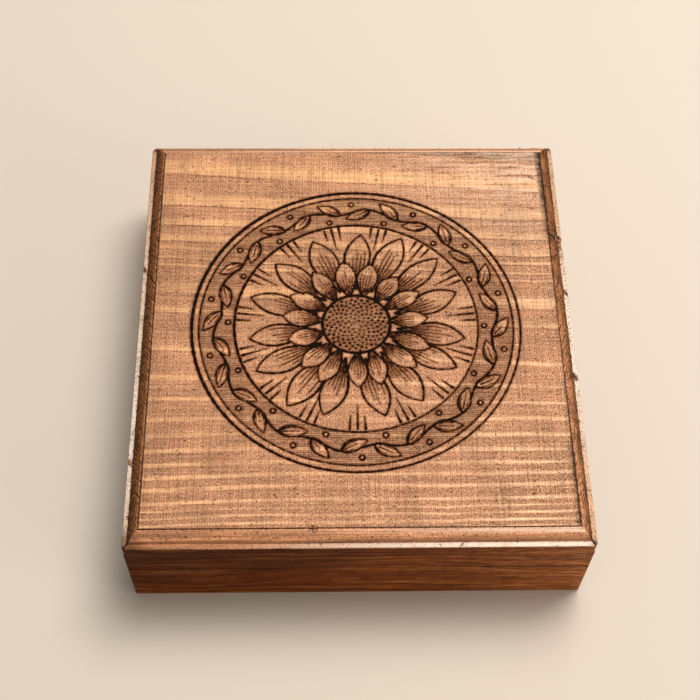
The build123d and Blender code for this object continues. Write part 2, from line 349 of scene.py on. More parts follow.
def sanded_grit(put, place, speck_mm):
    """Sanded softwood's dark and pale specks as shares, its belt marks as a tone, and its pores.

    Open pores hold dark stain, torn fibres catch the light, and a few larger pits are darker still.
    The sanding belt ran from front to back and left fine streaks and a few long scratches. Real
    specks are half as coarse, and would not show.
    """
    fine = 1 / speck_mm
    pores = drawn_out(put, place, (1.6 * fine, 0.75 * fine, fine), 2.0, 0.7)
    dark = put("MapRange:SMOOTHSTEP", pores, 0.5, 0.68, 0.0, 0.85)
    pale = put("MapRange:SMOOTHSTEP", pores, 0.48, 0.32, 0.0, 0.62)
    dots = put("TexVoronoi", place, 0.27)
    chosen = put("Math:GREATER_THAN", put("SeparateColor", dots.node.outputs["Color"]), 0.9)
    dot = put("Math:MULTIPLY", put("MapRange", dots, 0.13, 0.06, 0.0, 0.9), chosen)
    dark = put("Math:MAXIMUM", dark, dot)

    belt = put("MapRange", drawn_out(put, place, (2.4, 0.05, 1.0), 2.0), 0.3, 0.7, 0.74, 1.26)
    scratch = gap_between(put, drawn_out(put, place, (0.22, 0.012, 0.2), 2.0), 0.6)
    scratch = put("MapRange", scratch, 0.0, 0.012, 0.82, 1.0)
    fibres = put("MapRange", drawn_out(put, place, (0.04, 1.6, 1.6), 2.0), 0.3, 0.7, 0.8, 1.2)
    clouds = put("MapRange", put("TexNoise", place, 0.07, 3.0), 0.3, 0.7, 0.86, 1.14)
    return dark, pale, product(put, belt, scratch, fibres, clouds), pores


def ring_parts(put, rings, x, along_scale, apart_scale):
    """How far through its growth ring a place is, and noise that differs from ring to ring."""
    along = put("Math:MULTIPLY", x, along_scale)
    apart = put("Math:MULTIPLY", put("Math:FLOOR", rings), apart_scale)
    return put("Math:FRACT", rings), put("TexNoise", put("CombineXYZ", along, apart), 1.0, 2.0)


def growth_bands(put, x, across_mm, half_depth_mm):
    """The share of pale hard wood, and that of the thin dark line in front of each pale band.

    Of the three curves, one counts the rings from the lid's back to its front, so that each band
    ends where PALE_BANDS_MM says. The others give how much of each ring is pale, and its width.
    """
    place = put("MapRange", across_mm, -half_depth_mm, half_depth_mm)
    ends = [end for end, _ in PALE_BANDS_MM]
    starts = [half_depth_mm, *ends]
    gaps = [start - end for start, end in zip(starts, ends)]
    widest = max(gaps)
    counts = [(y, 1 - n / len(ends)) for n, y in enumerate(starts)]
    shares = [(end, min(0.6, width / gap)) for (end, width), gap in zip(PALE_BANDS_MM, gaps)]
    widths = []
    for start, end, gap in zip(starts, ends, gaps):
        widths += [(start - 0.2, gap / widest), (end + 0.2, gap / widest)]
    curves = []
    for points in (counts, shares, widths):
        curve = put("FloatCurve", 1.0, place)
        line = curve.node.mapping.curves[0]
        spots = sorted(((y + half_depth_mm) / (2 * half_depth_mm), value) for y, value in points)
        while len(line.points) < len(spots):
            line.points.new(0.5, 0.5)
        for point, spot in zip(line.points, spots):
            point.location = spot
            point.handle_type = "VECTOR"
        curve.node.mapping.update()
        curves.append(curve)
    count, share, width = curves
    rings = put("Math:MULTIPLY", count, -float(len(ends)))
    within, change = ring_parts(put, rings, x, along_scale=0.03, apart_scale=3.7)

    # Towards the back each band ends crisply, and towards the front it is soft on both sides.
    start = put("Math:MULTIPLY_ADD", share, -1.25, 1.0)
    full = put("Math:MULTIPLY_ADD", share, -0.75, 1.0)
    rise = put("MapRange:SMOOTHSTEP", within, start, full, 0.0, 1.0)
    softness = put("MapRange", across_mm, -20.0, 40.0, -0.4, -0.12)
    ending = put("Math:MULTIPLY_ADD", share, softness, 1.0)
    fall = put("MapRange:SMOOTHSTEP", within, ending, 1.0, 1.0, 0.0)
    weakest = put("MapRange", across_mm, 20.0, 50.0, 0.45, 0.9)
    faded = put("MapRange:SMOOTHSTEP", change, 0.36, 0.56, weakest, 1.0)
    middle = put("MapRange", put("Math:ABSOLUTE", x), 15.0, 60.0, 0.6, 1.0)
    middle = put("Mix", put("MapRange", across_mm, -45.0, -20.0), middle, 1.0)
    band = put("Math:MULTIPLY", put("Math:MULTIPLY", rise, fall), put("Math:MULTIPLY", faded, middle))
    past = product(put, within, width, widest)
    line = put("MapRange:SMOOTHSTEP", past, 0.8, 0.2, 0.0, 1.0)
    strength = put("MapRange", across_mm, -15.0, 40.0, 0.12, 0.62)
    strength = put("Math:MULTIPLY", strength, put("MapRange", change, 0.4, 0.56, 0.35, 1.0))
    return band, put("Math:MULTIPLY", line, strength)


def long_grain(put, place, pine):
    """The colour of planed and stained boards: the hard part of each ring stays a paler line.

    The lines waver, swell and fade along the board, and fine fibres run with them. Painted light makes each
    board lighter towards one end, the right end on the front, and towards the bottom of the box; painted
    shade makes it darker towards the top, most at the left.
    """
    x, y, z = put("SeparateXYZ", place).node.outputs
    height_on_box = put("SeparateXYZ", put("TexCoord").node.outputs["Object"]).node.outputs["Z"]
    from_pith = put("VectorMath:LENGTH", put("CombineXYZ", 0.0, y, z)).node.outputs["Value"]
    radius = put("Math:MULTIPLY_ADD", drawn_out(put, place, (0.006, 0.05, 0.05), 2.0), 15.0, from_pith)
    radius = put("Math:MULTIPLY_ADD", drawn_out(put, place, (0.03, 0.08, 0.08), 1.0), 5.0, radius)
    rings = put("Math:MULTIPLY", radius, MM / pine.ring_gap)
    within, change = ring_parts(put, rings, x, along_scale=0.024, apart_scale=2.3)
    rise = put("MapRange:SMOOTHSTEP", within, 0.1, 0.7, 0.0, 1.0)
    fall = put("MapRange:SMOOTHSTEP", within, 0.74, 1.0, 1.0, 0.0)
    line = product(put, rise, fall, put("MapRange", change, 0.4, 0.66, 0.0, 0.75))

    streaks_along = put("Math:MULTIPLY", x, 0.02)
    streaks_across = put("Math:MULTIPLY", radius, 0.7)
    streaks = put("TexNoise", put("CombineXYZ", streaks_along, streaks_across), 1.0, 3.0, 0.7)
    fibres = drawn_out(put, place, (0.16, 1.8, 1.8), 3.0, 0.7)
    pores = drawn_out(put, place, (0.5, 2.2, 2.2), 2.0)
    # Painted light and shade: lighter towards one end and towards the bottom of the box, darker towards its
    # top at the left.
    painted_shade_top = put("MapRange", x, -85.0, 85.0, 0.6, 1.1)
    tone = product(
        put,
        put("MapRange", streaks, 0.3, 0.7, 0.42, 1.58),
        put("MapRange", fibres, 0.3, 0.7, 0.48, 1.52),
        put("MapRange", pores, 0.55, 0.7, 1.0, 0.6),
        put("MapRange", x, -85.0, 85.0, 0.84, 1.4),
        put("MapRange", height_on_box, 4.0 * MM, 42.0 * MM, 1.5, painted_shade_top),
    )
    # Painted light: the paler line colour laid over the end towards the light.
    painted_light_end = put("MapRange", x, -30.0, 85.0, 0.0, 0.35)
    colour = layered(put, pine.board, (painted_light_end, pine.board_line_and_light), (line, pine.board_line_and_light))
    colour = put("VectorMath:SCALE", colour, tone)
    raised = put("MapRange", fibres, 0.5, 0.7, 0.0, put("MapRange", x, 20.0, 85.0, 0.0, 0.16))
    height = put("Math:MULTIPLY_ADD", pores, -0.1, put("Math:MULTIPLY", streaks, 0.12))
    height = put("Math:MULTIPLY_ADD", fibres, 0.05, height)
    return put("Mix:RGBA", raised, colour, pine.fibre_and_glare), pores, height


def lid_spot(put, moulding, half_width_mm, half_depth_mm, lip_mm):
    """Where a point of the lid lies, in millimetres, which way it faces, and how far in it is."""
    spot = SimpleNamespace(place=grain_place(put), half_depth=half_depth_mm)
    spot.x, spot.y, spot.z = put("SeparateXYZ", spot.place).node.outputs
    facing = put("TexCoord").node.outputs["Normal"]
    spot.facing_x, _, spot.facing_z = put("SeparateXYZ", facing).node.outputs
    spot.from_right = put("Math:SUBTRACT", half_width_mm, spot.x)
    for key, half, along in (("from_side", half_width_mm, spot.x), ("from_end", half_depth_mm, spot.y)):
        out = put("Math:ABSOLUTE", along)
        setattr(spot, key, put("Math:SUBTRACT", half, out))
    spot.inset = put("Math:MINIMUM", spot.from_side, spot.from_end)
    spot.into_corner = put("Math:MAXIMUM", spot.from_side, spot.from_end)
    past_mitre = put("Math:SUBTRACT", spot.from_end, spot.from_side)
    spot.on_side = put("MapRange", past_mitre, -0.1, 0.1)
    spot.off_mitre = put("Math:ABSOLUTE", past_mitre)
    spot.torn = put("TexNoise", spot.place, 0.8, 3.0, 0.7)
    spot.ragged = put("MapRange", spot.torn, 0.25, 0.75, -0.35, 0.35)
    spot.rubbed = put("Math:ADD", spot.inset, spot.ragged)
    spot.high = put("MapRange", spot.z, lip_mm - 1.0, lip_mm - 0.3)
    spot.lip_end = moulding.lip_width / MM
    spot.field = (moulding.lip_width + moulding.ovolo_radius + moulding.shoulder_width) / MM
    spot.in_field = put("MapRange", spot.inset, spot.field - 0.1, spot.field + 0.1)
    spot.off_field = put("Math:SUBTRACT", 1.0, spot.in_field)
    spot.on_right = put("MapRange", spot.x, -1.0, 1.0)
    spot.behind = put("MapRange", spot.y, -1.0, 1.0)
    spot.streaks = drawn_out(put, spot.place, (0.035, 1.7, 1.7), 3.0, 0.7)
    return spot


def sanded_field(put, spot, pine):
    """The flat field: soft wood that took the stain, pale hard bands, specks and belt marks.

    Its back right is painted paler in streaks: painted glare of the light behind it, broken by darker
    streaks.
    """
    dark, pale, tone, pores = sanded_grit(put, spot.place, pine.speck / MM)
    wander = put("MapRange", drawn_out(put, spot.place, (0.009, 0.02, 0.02), 1.0), 0.0, 1.0, -1.9, 1.9)
    ripple = put("MapRange", drawn_out(put, spot.place, (0.07, 0.03, 0.1), 2.0), 0.0, 1.0, -0.5, 0.5)
    across = put("Math:ADD", put("Math:ADD", spot.y, wander), ripple)

    # Behind the middle the rings come nearer to the front on their way to the right.
    from_left = put("MapRange", spot.x, -72.0, 73.0)
    lower = put("MapRange", spot.y, -42.0, -18.0, 0.0, 8.2)
    for start, end, more in ((50.0, 70.0, 1.5), (-50.0, -62.0, -2.0)):
        lower = put("Math:ADD", lower, put("MapRange", spot.y, start, end, 0.0, more))
    across = put("Math:MULTIPLY_ADD", from_left, lower, across)
    band, line = growth_bands(put, spot.x, across, spot.half_depth)
    bleached = put("MapRange", put("Math:SUBTRACT", spot.x, spot.y), -30.0, 130.0, 0.0, 0.25)
    hard_wood = put("Mix:RGBA", bleached, pine.latewood, pine.fibre_and_glare)
    rough = put("MapRange", band, 0.0, 1.0, 1.0, 0.28)
    pale = product(put, pale, put("MapRange", spot.x, -75.0, 75.0, 0.8, 1.15), rough)
    dark = product(put, dark, put("MapRange", spot.x, -20.0, 75.0, 0.98, 1.2), rough)
    colour = put("Mix:RGBA", band, pine.earlywood, hard_wood)
    colour = layered(put, colour, (line, pine.end_grain), (dark, pine.end_grain), (pale, pine.fibre_and_glare))
    # Painted glare at the back right: paler streaks with darker ones between.
    streaks = drawn_out(put, spot.place, (0.05, 0.7, 0.7), 3.0, 0.65)
    glare_back_right = put("Math:MULTIPLY", put("MapRange", spot.x, 0.0, 60.0), put("MapRange", spot.y, 30.0, 75.0))
    rubbed = put("Math:MULTIPLY", put("MapRange", streaks, 0.4, 0.62, 0.0, 0.5), glare_back_right)
    missed = put("Math:MULTIPLY", put("MapRange", streaks, 0.42, 0.32, 0.0, 0.6), glare_back_right)
    dusky = put("MapRange", spot.from_side, spot.field, spot.field + 16.0, 0.84, 1.0)
    dusky = put("Mix", spot.on_right, dusky, 1.0)
    stain = put("MapRange", spot.y, -80.0, 0.0, 0.88, 1.0)
    bare = put("MapRange", spot.y, -80.0, 0.0, 1.12, 1.0)
    thick = put("MapRange", gap_between(put, spot.y, 25.0), 10.0, 45.0, 0.87, 1.0)
    tone = product(put, tone, dusky, put("Mix", band, stain, bare), thick)
    colour = put("VectorMath:SCALE", colour, tone)
    return layered(put, colour, (rubbed, pine.fibre_and_glare), (missed, pine.end_grain)), band, pores


def cut_moulding(put, spot, pine, colour, pores):
    """The moulding: streaks where the cutter ran with the grain, dark end grain where it ran across.

    The end grain drinks the stain, and is cut by slanting marks and by the rings' edges. Its upper part, and
    the right end as a whole, are painted lighter, as light falls on the top of the round and on the right.
    """
    tone = put("MapRange", spot.streaks, 0.3, 0.7, 0.62, 1.75)
    low_back = put("MapRange", spot.rubbed, spot.field - 1.6, spot.field - 1.0, 0.62, 1.0)
    foot = put("MapRange", spot.x, -60.0, 0.0, 1.7, 1.0)
    from_foot = gap_between(put, spot.rubbed, spot.lip_end + 0.3)
    low_front = put("MapRange", from_foot, 0.4, 0.9, foot, put("MapRange", spot.x, -60.0, 0.0, 0.72, 1.05))
    low = put("Mix", spot.behind, low_front, low_back)
    tone = product(put, tone, put("MapRange", pores, 0.38, 0.62, 1.3, 0.62), low)
    stained = put("MapRange", spot.x, -80.0, 0.0, 0.12, 0.0)
    run = put("VectorMath:SCALE", put("Mix:RGBA", stained, pine.earlywood, pine.end_grain), tone)
    colour = put("Mix:RGBA", spot.in_field, run, colour)

    turn = put("TexNoise", put("CombineXYZ", put("Math:MULTIPLY", spot.y, 0.03)), 1.0, 1.0)
    turn = put("MapRange", turn, 0.35, 0.65, spot.lip_end - 2.0, spot.field + 1.0)
    slant = gap_between(put, spot.inset, turn)
    slant = put("Math:MULTIPLY_ADD", slant, put("Mix", spot.on_right, 1.3, 1.9), spot.y)
    marks_at = put("CombineXYZ", put("Math:MULTIPLY", spot.inset, 0.3), slant)
    marks = put("TexNoise", marks_at, 0.75, 3.0, 0.72)
    # Painted light: the end grain is lighter towards the top of the round, along the right end and on the
    # left end's shoulder.
    upper = put("MapRange", spot.inset, spot.lip_end + 0.4, spot.field - 0.4)
    near = put("MapRange", spot.y, 40.0, -80.0, 0.3, 0.95)
    lighter = put("Math:MULTIPLY", upper, put("Mix", spot.on_right, 0.1, near))
    shoulder = put("MapRange", spot.rubbed, spot.field - 0.95, spot.field - 0.6, 0.0, 0.42)
    lighter = put("Math:MAXIMUM", lighter, put("Mix", spot.on_right, shoulder, 0.0))
    end_colour = put("Mix:RGBA", lighter, pine.end_grain, pine.earlywood)
    ridge = gap_between(put, marks, 0.5)
    ridge = put("MapRange", ridge, 0.0, 0.035, put("Mix", spot.on_right, 1.7, 1.4), 1.0)
    blotches = put("MapRange", drawn_out(put, spot.place, (0.5, 0.14, 0.3), 4.0, 0.75), 0.36, 0.62, 0.6, 1.35)
    end_tone = product(
        put,
        put("MapRange", marks, 0.38, 0.62, put("Mix", spot.on_right, 0.25, 0.4), 1.6),
        ridge,
        put("Mix", spot.on_right, 1.0, blotches),
        put("MapRange", pores, 0.35, 0.65, 1.5, 0.5),
    )
    end_colour = put("VectorMath:SCALE", end_colour, end_tone)
    upright = put("MapRange", put("Math:ABSOLUTE", spot.facing_x), 0.5, 0.8)
    end_share = put("Math:MAXIMUM", upright, put("Math:MULTIPLY", spot.on_side, spot.off_field))
    return put("Mix:RGBA", end_share, colour, end_colour), end_share, marks


def corner_shade_and_grime(put, spot, pine, colour):
    """Painted shade where the moulding's round meets the lip, a dark line along the step up to the field, and
    grime along the right of the field.
    """
    broken = put("MapRange", spot.torn, 0.4, 0.6, 0.6, 1.0)
    lip_shade_side = put("MapRange", spot.x, -80.0, 80.0, 0.92, 0.5)
    lip_shade_front = put("MapRange", spot.x, -80.0, 60.0, 0.55, 0.25)
    lip_shade_depth = put("Mix", spot.on_side, put("Mix", spot.behind, lip_shade_front, 0.85), lip_shade_side)
    lip_shade_reach = put("Mix", spot.on_side, put("Mix", spot.behind, 0.32, 0.55), 0.6)
    near_end = put("MapRange", put("Math:ABSOLUTE", spot.y), 20.0, 55.0)
    side_depth = put("Mix", spot.on_right, 1.0, put("Mix", near_end, broken, 1.0))
    side_reach = put("Mix", spot.on_right, 0.55, put("Mix", near_end, 0.55, 0.8))
    field_depth = put("Mix", spot.on_side, broken, side_depth)
    field_reach = put("Mix", spot.on_side, 0.38, side_reach)
    line_inset = put("Math:MULTIPLY_ADD", spot.ragged, 0.35, spot.inset)
    # The line at the lip is painted shade, deepest on the left side and at the back, least at the front
    # right.
    for middle, reach, depth in (
        (spot.lip_end + 0.15, lip_shade_reach, lip_shade_depth),
        (spot.field, field_reach, field_depth),
    ):
        dark = put("MapRange:SMOOTHSTEP", gap_between(put, line_inset, middle), reach, 0.05, 0.0, 0.9)
        colour = put("Mix:RGBA", product(put, dark, depth, spot.high), colour, pine.grime_and_shade)

    margin = put("MapRange", spot.from_right, spot.field + 2.6, spot.field + 0.5)
    margin = put("Math:MULTIPLY", margin, put("Mix", near_end, 0.3, 1.0))
    at_back = put("MapRange", spot.y, spot.half_depth - 11.0, spot.half_depth - 7.0)
    far = put("MapRange", gap_between(put, spot.x, 48.0), 16.0, 8.0, 0.0, 0.6)
    far = put("Math:MULTIPLY", far, at_back)
    grime = put("MapRange", put("TexNoise", spot.place, 0.16, 4.0, 0.7), 0.36, 0.5)
    patchy = put("MapRange", spot.torn, 0.36, 0.6, 0.15, 0.85)
    grime = product(put, grime, put("Math:MAXIMUM", margin, far), patchy)
    smear = put("MapRange", spot.from_right, spot.field + 2.6, spot.field + 1.0)
    patchy = put("MapRange", spot.torn, 0.32, 0.52, 0.35, 0.9)
    smear = product(put, smear, put("MapRange", spot.y, 35.0, 60.0), patchy)
    grime = put("Math:MULTIPLY", put("Math:MAXIMUM", grime, smear), spot.in_field)
    return put("Mix:RGBA", grime, colour, pine.grime_and_shade)


def rubbed_edges(put, spot, pine, colour, specks_from):
    """The lip and the moulding's crown, rubbed pale by hands, in part down to bare wood, and painted paler
    still where the light's highlight falls on them.
    """
    on_top = put("MapRange", spot.facing_z, 0.3, 0.75)
    lip_share = put("MapRange", spot.rubbed, spot.lip_end + 0.05, spot.lip_end - 0.3)
    patchy = put("MapRange", put("TexNoise", spot.place, 0.3, 4.0, 0.65), 0.36, 0.46, 0.7, 1.0)
    # Along the front the lip is paler towards the right, and nicks break it less at the front right: painted
    # highlight.
    front = put("MapRange", spot.x, -78.0, 0.0, 0.2, 1.0)
    side = put("MapRange", spot.y, 20.0, 80.0, 1.0, 0.85)
    back = put("MapRange", spot.y, spot.half_depth - 4.0, spot.half_depth - 2.0, 1.0, 0.85)
    worn = put("Mix", spot.on_side, front, side)
    smooth = put("MapRange", put("Math:SUBTRACT", spot.x, spot.y), 60.0, 130.0, 0.3, 0.85)
    nicks = put("MapRange", put("TexNoise", spot.place, 1.0, 3.0, 0.7), 0.57, 0.64, 1.0, smooth)
    worn = product(put, worn, on_top, lip_share, patchy, back, nicks)
    # The crown's pale line is partly rubbed wear and partly painted highlight, strongest to the right and at
    # the back.
    crown = gap_between(put, spot.inset, put("Mix", spot.behind, spot.field - 1.1, spot.field - 0.6))
    crown = put("MapRange:SMOOTHSTEP", crown, put("Mix", spot.behind, 1.4, 0.7), 0.2, 0.0, 1.0)
    strength = put("MapRange", spot.x, -50.0, 75.0, 0.05, 0.6)
    strength = put("Math:MAXIMUM", strength, put("Math:MULTIPLY", spot.behind, 0.6))
    lengthwise = put("Math:SUBTRACT", 1.0, put("Math:MAXIMUM", spot.on_side, spot.in_field))
    crown = product(put, crown, strength, lengthwise, put("MapRange", spot.streaks, 0.35, 0.6, 0.4, 1.0))
    pale = put("Math:MAXIMUM", worn, crown)
    # The bare lip is painted near white as highlight, in a share that changes along each side and is largest
    # at the front right.
    bare_and_lit_front = put("MapRange", spot.x, -50.0, 32.0)
    bare_and_lit_back = put("MapRange", spot.x, -80.0, 40.0, 0.4, 0.85)
    bare_and_lit_left = put("MapRange", spot.y, -30.0, 70.0, put("MapRange", spot.y, -85.0, -50.0, 0.5, 1.0), 0.2)
    from_brightest = put("Math:ABSOLUTE", put("Math:ADD", spot.y, 8.0))
    bare_and_lit_right = put("MapRange", from_brightest, 10.0, 60.0, 1.0, 0.2)
    bare_and_lit_side = put("Mix", spot.on_right, bare_and_lit_left, bare_and_lit_right)
    bare = put("Mix", spot.on_side, put("Mix", spot.behind, bare_and_lit_front, bare_and_lit_back), bare_and_lit_side)
    bare = put("Math:MULTIPLY", bare, put("MapRange", spot.torn, 0.4, 0.6, 0.75, 1.1))
    # Fewer dark flecks at the front right, under the painted highlight.
    most_on_side = put("MapRange", spot.x, -1.0, 1.0, 0.45, 0.75)
    most = put("Mix", spot.on_side, put("MapRange", spot.x, -50.0, 60.0, 0.5, 0.15), most_on_side)
    flecks = put("MapRange", specks_from, 0.52, 0.6, 0.0, most)
    stained = put("Mix:RGBA", spot.on_side, pine.earlywood, pine.latewood)
    worn_colour = layered(put, stained, (bare, pine.worn), (flecks, pine.end_grain))
    return put("Mix:RGBA", pale, colour, worn_colour), worn


def gouges(put, spot, pine, colour):
    """Gouges and cracks, dark and wavering."""
    for start, end, half_width in GOUGES_MM:
        length = math.dist(start, end)
        ahead = ((end[0] - start[0]) / length, (end[1] - start[1]) / length, 0.0)
        from_start = put("VectorMath:SUBTRACT", spot.place, (*start, 0.0))
        along, off = (
            put("VectorMath:DOT_PRODUCT", from_start, way).node.outputs["Value"]
            for way in (ahead, (-ahead[1], ahead[0], 0.0))
        )
        off = put("Math:ABSOLUTE", put("Math:MULTIPLY_ADD", spot.ragged, 2.0, off))
        dark = product(
            put,
            put("MapRange", off, half_width + 0.25, half_width - 0.2, 0.0, 0.5 + 0.8 * half_width),
            put("MapRange", along, 0.0, 0.6),
            put("MapRange", along, length, length - 0.6),
        )
        colour = put("Mix:RGBA", dark, colour, pine.grime_and_shade)
    return colour


def chips_and_dirt(put, spot, pine, burnt, colour):
    """Chips with stained wood inside a black rim of painted shadow, dirty corners, and a crack through each
    mitre.
    """
    chip = put("Attribute", attribute_name="chip").node.outputs["Fac"]
    chip = put("Math:MULTIPLY_ADD", spot.ragged, 0.7, chip)
    inside = put("MapRange", chip, 0.16, 0.3)
    # The black rim round each chip is painted shadow.
    rim = put("MapRange", gap_between(put, chip, 0.24), 0.16, 0.04, 0.0, 0.85)

    # The front left corner is the dirtiest.
    corner = put("Math:MULTIPLY_ADD", spot.ragged, 2.5, spot.into_corner)
    corner = put("MapRange", corner, 4.2, 1.4, 0.0, 0.45)
    from_front_left = put("Math:MULTIPLY_ADD", spot.ragged, 4.0, put("Math:ADD", spot.x, spot.y))
    dirtiest = put("MapRange", from_front_left, -161.0, -167.0, 0.0, 0.75)
    corner = put("Math:MAXIMUM", corner, dirtiest)
    crack = put("Math:MULTIPLY_ADD", spot.ragged, 0.5, spot.off_mitre)
    crack = put("MapRange", crack, 0.6, 0.3, 0.0, 0.92)
    inner = put("MapRange", spot.rubbed, spot.lip_end + 1.5, spot.lip_end + 0.8)
    crack = product(put, crack, inner, spot.high)
    corner = put("Math:MULTIPLY", corner, spot.high)
    broken = put("Mix:RGBA", put("MapRange", spot.torn, 0.4, 0.6), pine.end_grain, pine.earlywood)
    colour = layered(put, colour, (inside, broken), (rim, burnt.char))
    return layered(put, colour, (corner, pine.end_grain), (crack, burnt.char))


def burnt_lines(put, spot, burnt, colour):
    """Burnt lines: char in the bottom, scorched walls, a brown haze beside them, and fine shading."""
    gap = put("Attribute", attribute_name="line_gap").node.outputs["Fac"]
    gap = put("Math:MULTIPLY_ADD", spot.ragged, 0.6, gap)
    haze = put("MapRange:SMOOTHSTEP", gap, 0.9, 0.0, 0.0, 0.5)
    shade = put("Attribute", attribute_name="shade").node.outputs["Fac"]
    wavy = put("Math:MULTIPLY_ADD", spot.torn, 0.5, spot.y)
    wave = put("Math:SINE", put("Math:MULTIPLY", wavy, 2 * math.pi * MM / burnt.shade_gap))
    stroke = put("MapRange:SMOOTHSTEP", wave, -0.4, 0.5, 0.0, 1.0)
    lifted = put("MapRange", drawn_out(put, spot.place, (0.12, 1.2, 1.2), 2.0), 0.38, 0.55, 0.2, 1.0)
    stroke = product(put, stroke, lifted, shade)
    tanned = put("Math:MULTIPLY", shade, 0.24)
    drawn = put("Math:MULTIPLY", stroke, 0.72)
    colour = layered(put, colour, (haze, burnt.scorch), (tanned, burnt.scorch), (drawn, burnt.shading))
    charred = put("MapRange:SMOOTHSTEP", gap, 0.12, -0.14, 0.0, 1.0)
    line_colour = put("Mix:RGBA", charred, burnt.scorch, burnt.char)
    line_share = put("MapRange:SMOOTHSTEP", gap, 0.26, 0.0, 0.0, 1.0)
    return put("Mix:RGBA", line_share, colour, line_colour), line_share, stroke


def stained_pine_lid(pine, burnt, moulding, half_width_mm, half_depth_mm, lip_mm):
    """Plain-sawn pine, sanded across, stained and burnt.

    Stain fills the soft wood and leaves the hard bands pale, end grain drinks it and goes dark, and the lip
    is rubbed back to bare wood and painted near white where the light's highlight falls.
    """
    material, put = new_material("stained_pine_lid")
    spot = lid_spot(put, moulding, half_width_mm, half_depth_mm, lip_mm)
    colour, band, pores = sanded_field(put, spot, pine)
    colour, end_share, marks = cut_moulding(put, spot, pine, colour, pores)
    colour = corner_shade_and_grime(put, spot, pine, colour)
    colour, worn = rubbed_edges(put, spot, pine, colour, pores)
    colour = gouges(put, spot, pine, colour)
    colour = chips_and_dirt(put, spot, pine, burnt, colour)
    colour, line_share, stroke = burnt_lines(put, spot, burnt, colour)

    roughness = put("MapRange", pores, 0.3, 0.7, 0.42, 0.64)
    for share, change in ((line_share, 0.25), (end_share, 0.12), (worn, -0.08)):
        roughness = put("Math:MULTIPLY_ADD", share, change, roughness)
    height = put("Math:MULTIPLY", pores, put("MapRange", spot.in_field, 0.0, 1.0, -0.1, -0.22))
    end_marks = put("Math:MULTIPLY", marks, end_share)
    run_marks = put("Math:MULTIPLY", spot.streaks, spot.off_field)
    relief = ((band, 0.05), (stroke, -0.12), (end_marks, 0.5), (run_marks, 0.2), (spot.torn, 0.12))
    for part, change in relief:
        height = put("Math:MULTIPLY_ADD", part, change, height)
    finish(put, colour, roughness, height, 0.9, {"Specular IOR Level": 0.1})
    return material


def stained_pine_board(pine, split_mm, name, turn, pith_mm, tilt, tone):
    """Quarter-sawn pine, planed and stained dark: long pale lines that taper along the grain.

    Dust lies along the line between the tray and the lid, most of it near the corners.
    """
    material, put = new_material(name)
    colour, pores, height = long_grain(put, grain_place(put, turn, pith_mm, tilt), pine)
    colour = put("VectorMath:SCALE", colour, tone)
    where = put("TexCoord").node.outputs
    across, _, up = put("SeparateXYZ", where["Object"]).node.outputs
    facing_up = put("SeparateXYZ", where["Normal"]).node.outputs["Z"]
    dust = product(
        put,
        put("MapRange", gap_between(put, up, split_mm * MM), 0.6 * MM, 0.3 * MM, 0.0, 0.8),
        put("MapRange", put("Math:ABSOLUTE", across), 40 * MM, 75 * MM, 0.3, 1.0),
        put("MapRange", put("Math:ABSOLUTE", facing_up), 0.9, 0.75),
    )
    colour = put("Mix:RGBA", dust, colour, pine.grime_and_shade)
    roughness = put("MapRange", pores, 0.3, 0.7, 0.5, 0.62)
    finish(put, colour, roughness, height, 0.7, {"Specular IOR Level": 0.04})
    return material


def birch_plywood():
    """Birch plywood, sanded and left bare: pale, with the faint figure of a peeled face sheet."""
    material, put = new_material("birch_plywood")
    place = grain_place(put)
    figure = put("MapRange", drawn_out(put, place, (0.01, 0.08, 0.08), 4.0, 0.6), 0.35, 0.65)
    pores = drawn_out(put, place, (0.2, 3.0, 3.0), 2.0)
    colour = put("Mix:RGBA", figure, linear("#CFAE82"), linear("#B18A5C"))
    colour = put("VectorMath:SCALE", colour, put("MapRange", pores, 0.3, 0.75, 1.05, 0.84))
    rough = put("MapRange", pores, 0.3, 0.7, 0.55, 0.7)
    finish(put, colour, rough, put("Math:MULTIPLY", pores, -0.05), 0.5, {"Specular IOR Level": 0.4})
    return material


def wool_felt(lining):
    """Pressed wool felt: matt, with matted fibres of slightly different tones."""
    material, put = new_material("wool_felt")
    place = grain_place(put)
    fibres = drawn_out(put, place, (1.3, 2.4, 2.0), 4.0, 0.75)
    tone = put("MapRange", fibres, 0.35, 0.65, 0.6, 1.5)
    clouds = put("MapRange", put("TexNoise", place, 0.4, 4.0, 0.7), 0.3, 0.7, 0.6, 1.4)
    colour = put("VectorMath:SCALE", lining.felt, put("Math:MULTIPLY", tone, clouds))
    sheen = {"Sheen Weight": 0.12, "Sheen Roughness": 0.6}
    finish(put, colour, 0.95, put("Math:MULTIPLY", fibres, 0.35), 0.9, sheen)
    return material


def woven_velvet(lining):
    """Cotton velvet: a short pile that shines at its edges and shows where it was stroked."""
    material, put = new_material("woven_velvet")
    place = grain_place(put)
    pile = put("TexNoise", place, MM / lining.pile, 2.0, 0.7)
    stroked = put("MapRange", drawn_out(put, place, (0.05, 0.09, 0.09), 3.0), 0.35, 0.65, 0.75, 1.3)
    tone = put("Math:MULTIPLY", put("MapRange", pile, 0.35, 0.65, 0.7, 1.35), stroked)
    colour = put("VectorMath:SCALE", lining.velvet, tone)
    sheen = {"Sheen Weight": 0.6, "Sheen Roughness": 0.35, "Sheen Tint": linear("#9A7A66")}
    finish(put, colour, 0.85, put("Math:MULTIPLY", pile, 0.15), 0.6, sheen)
    return material


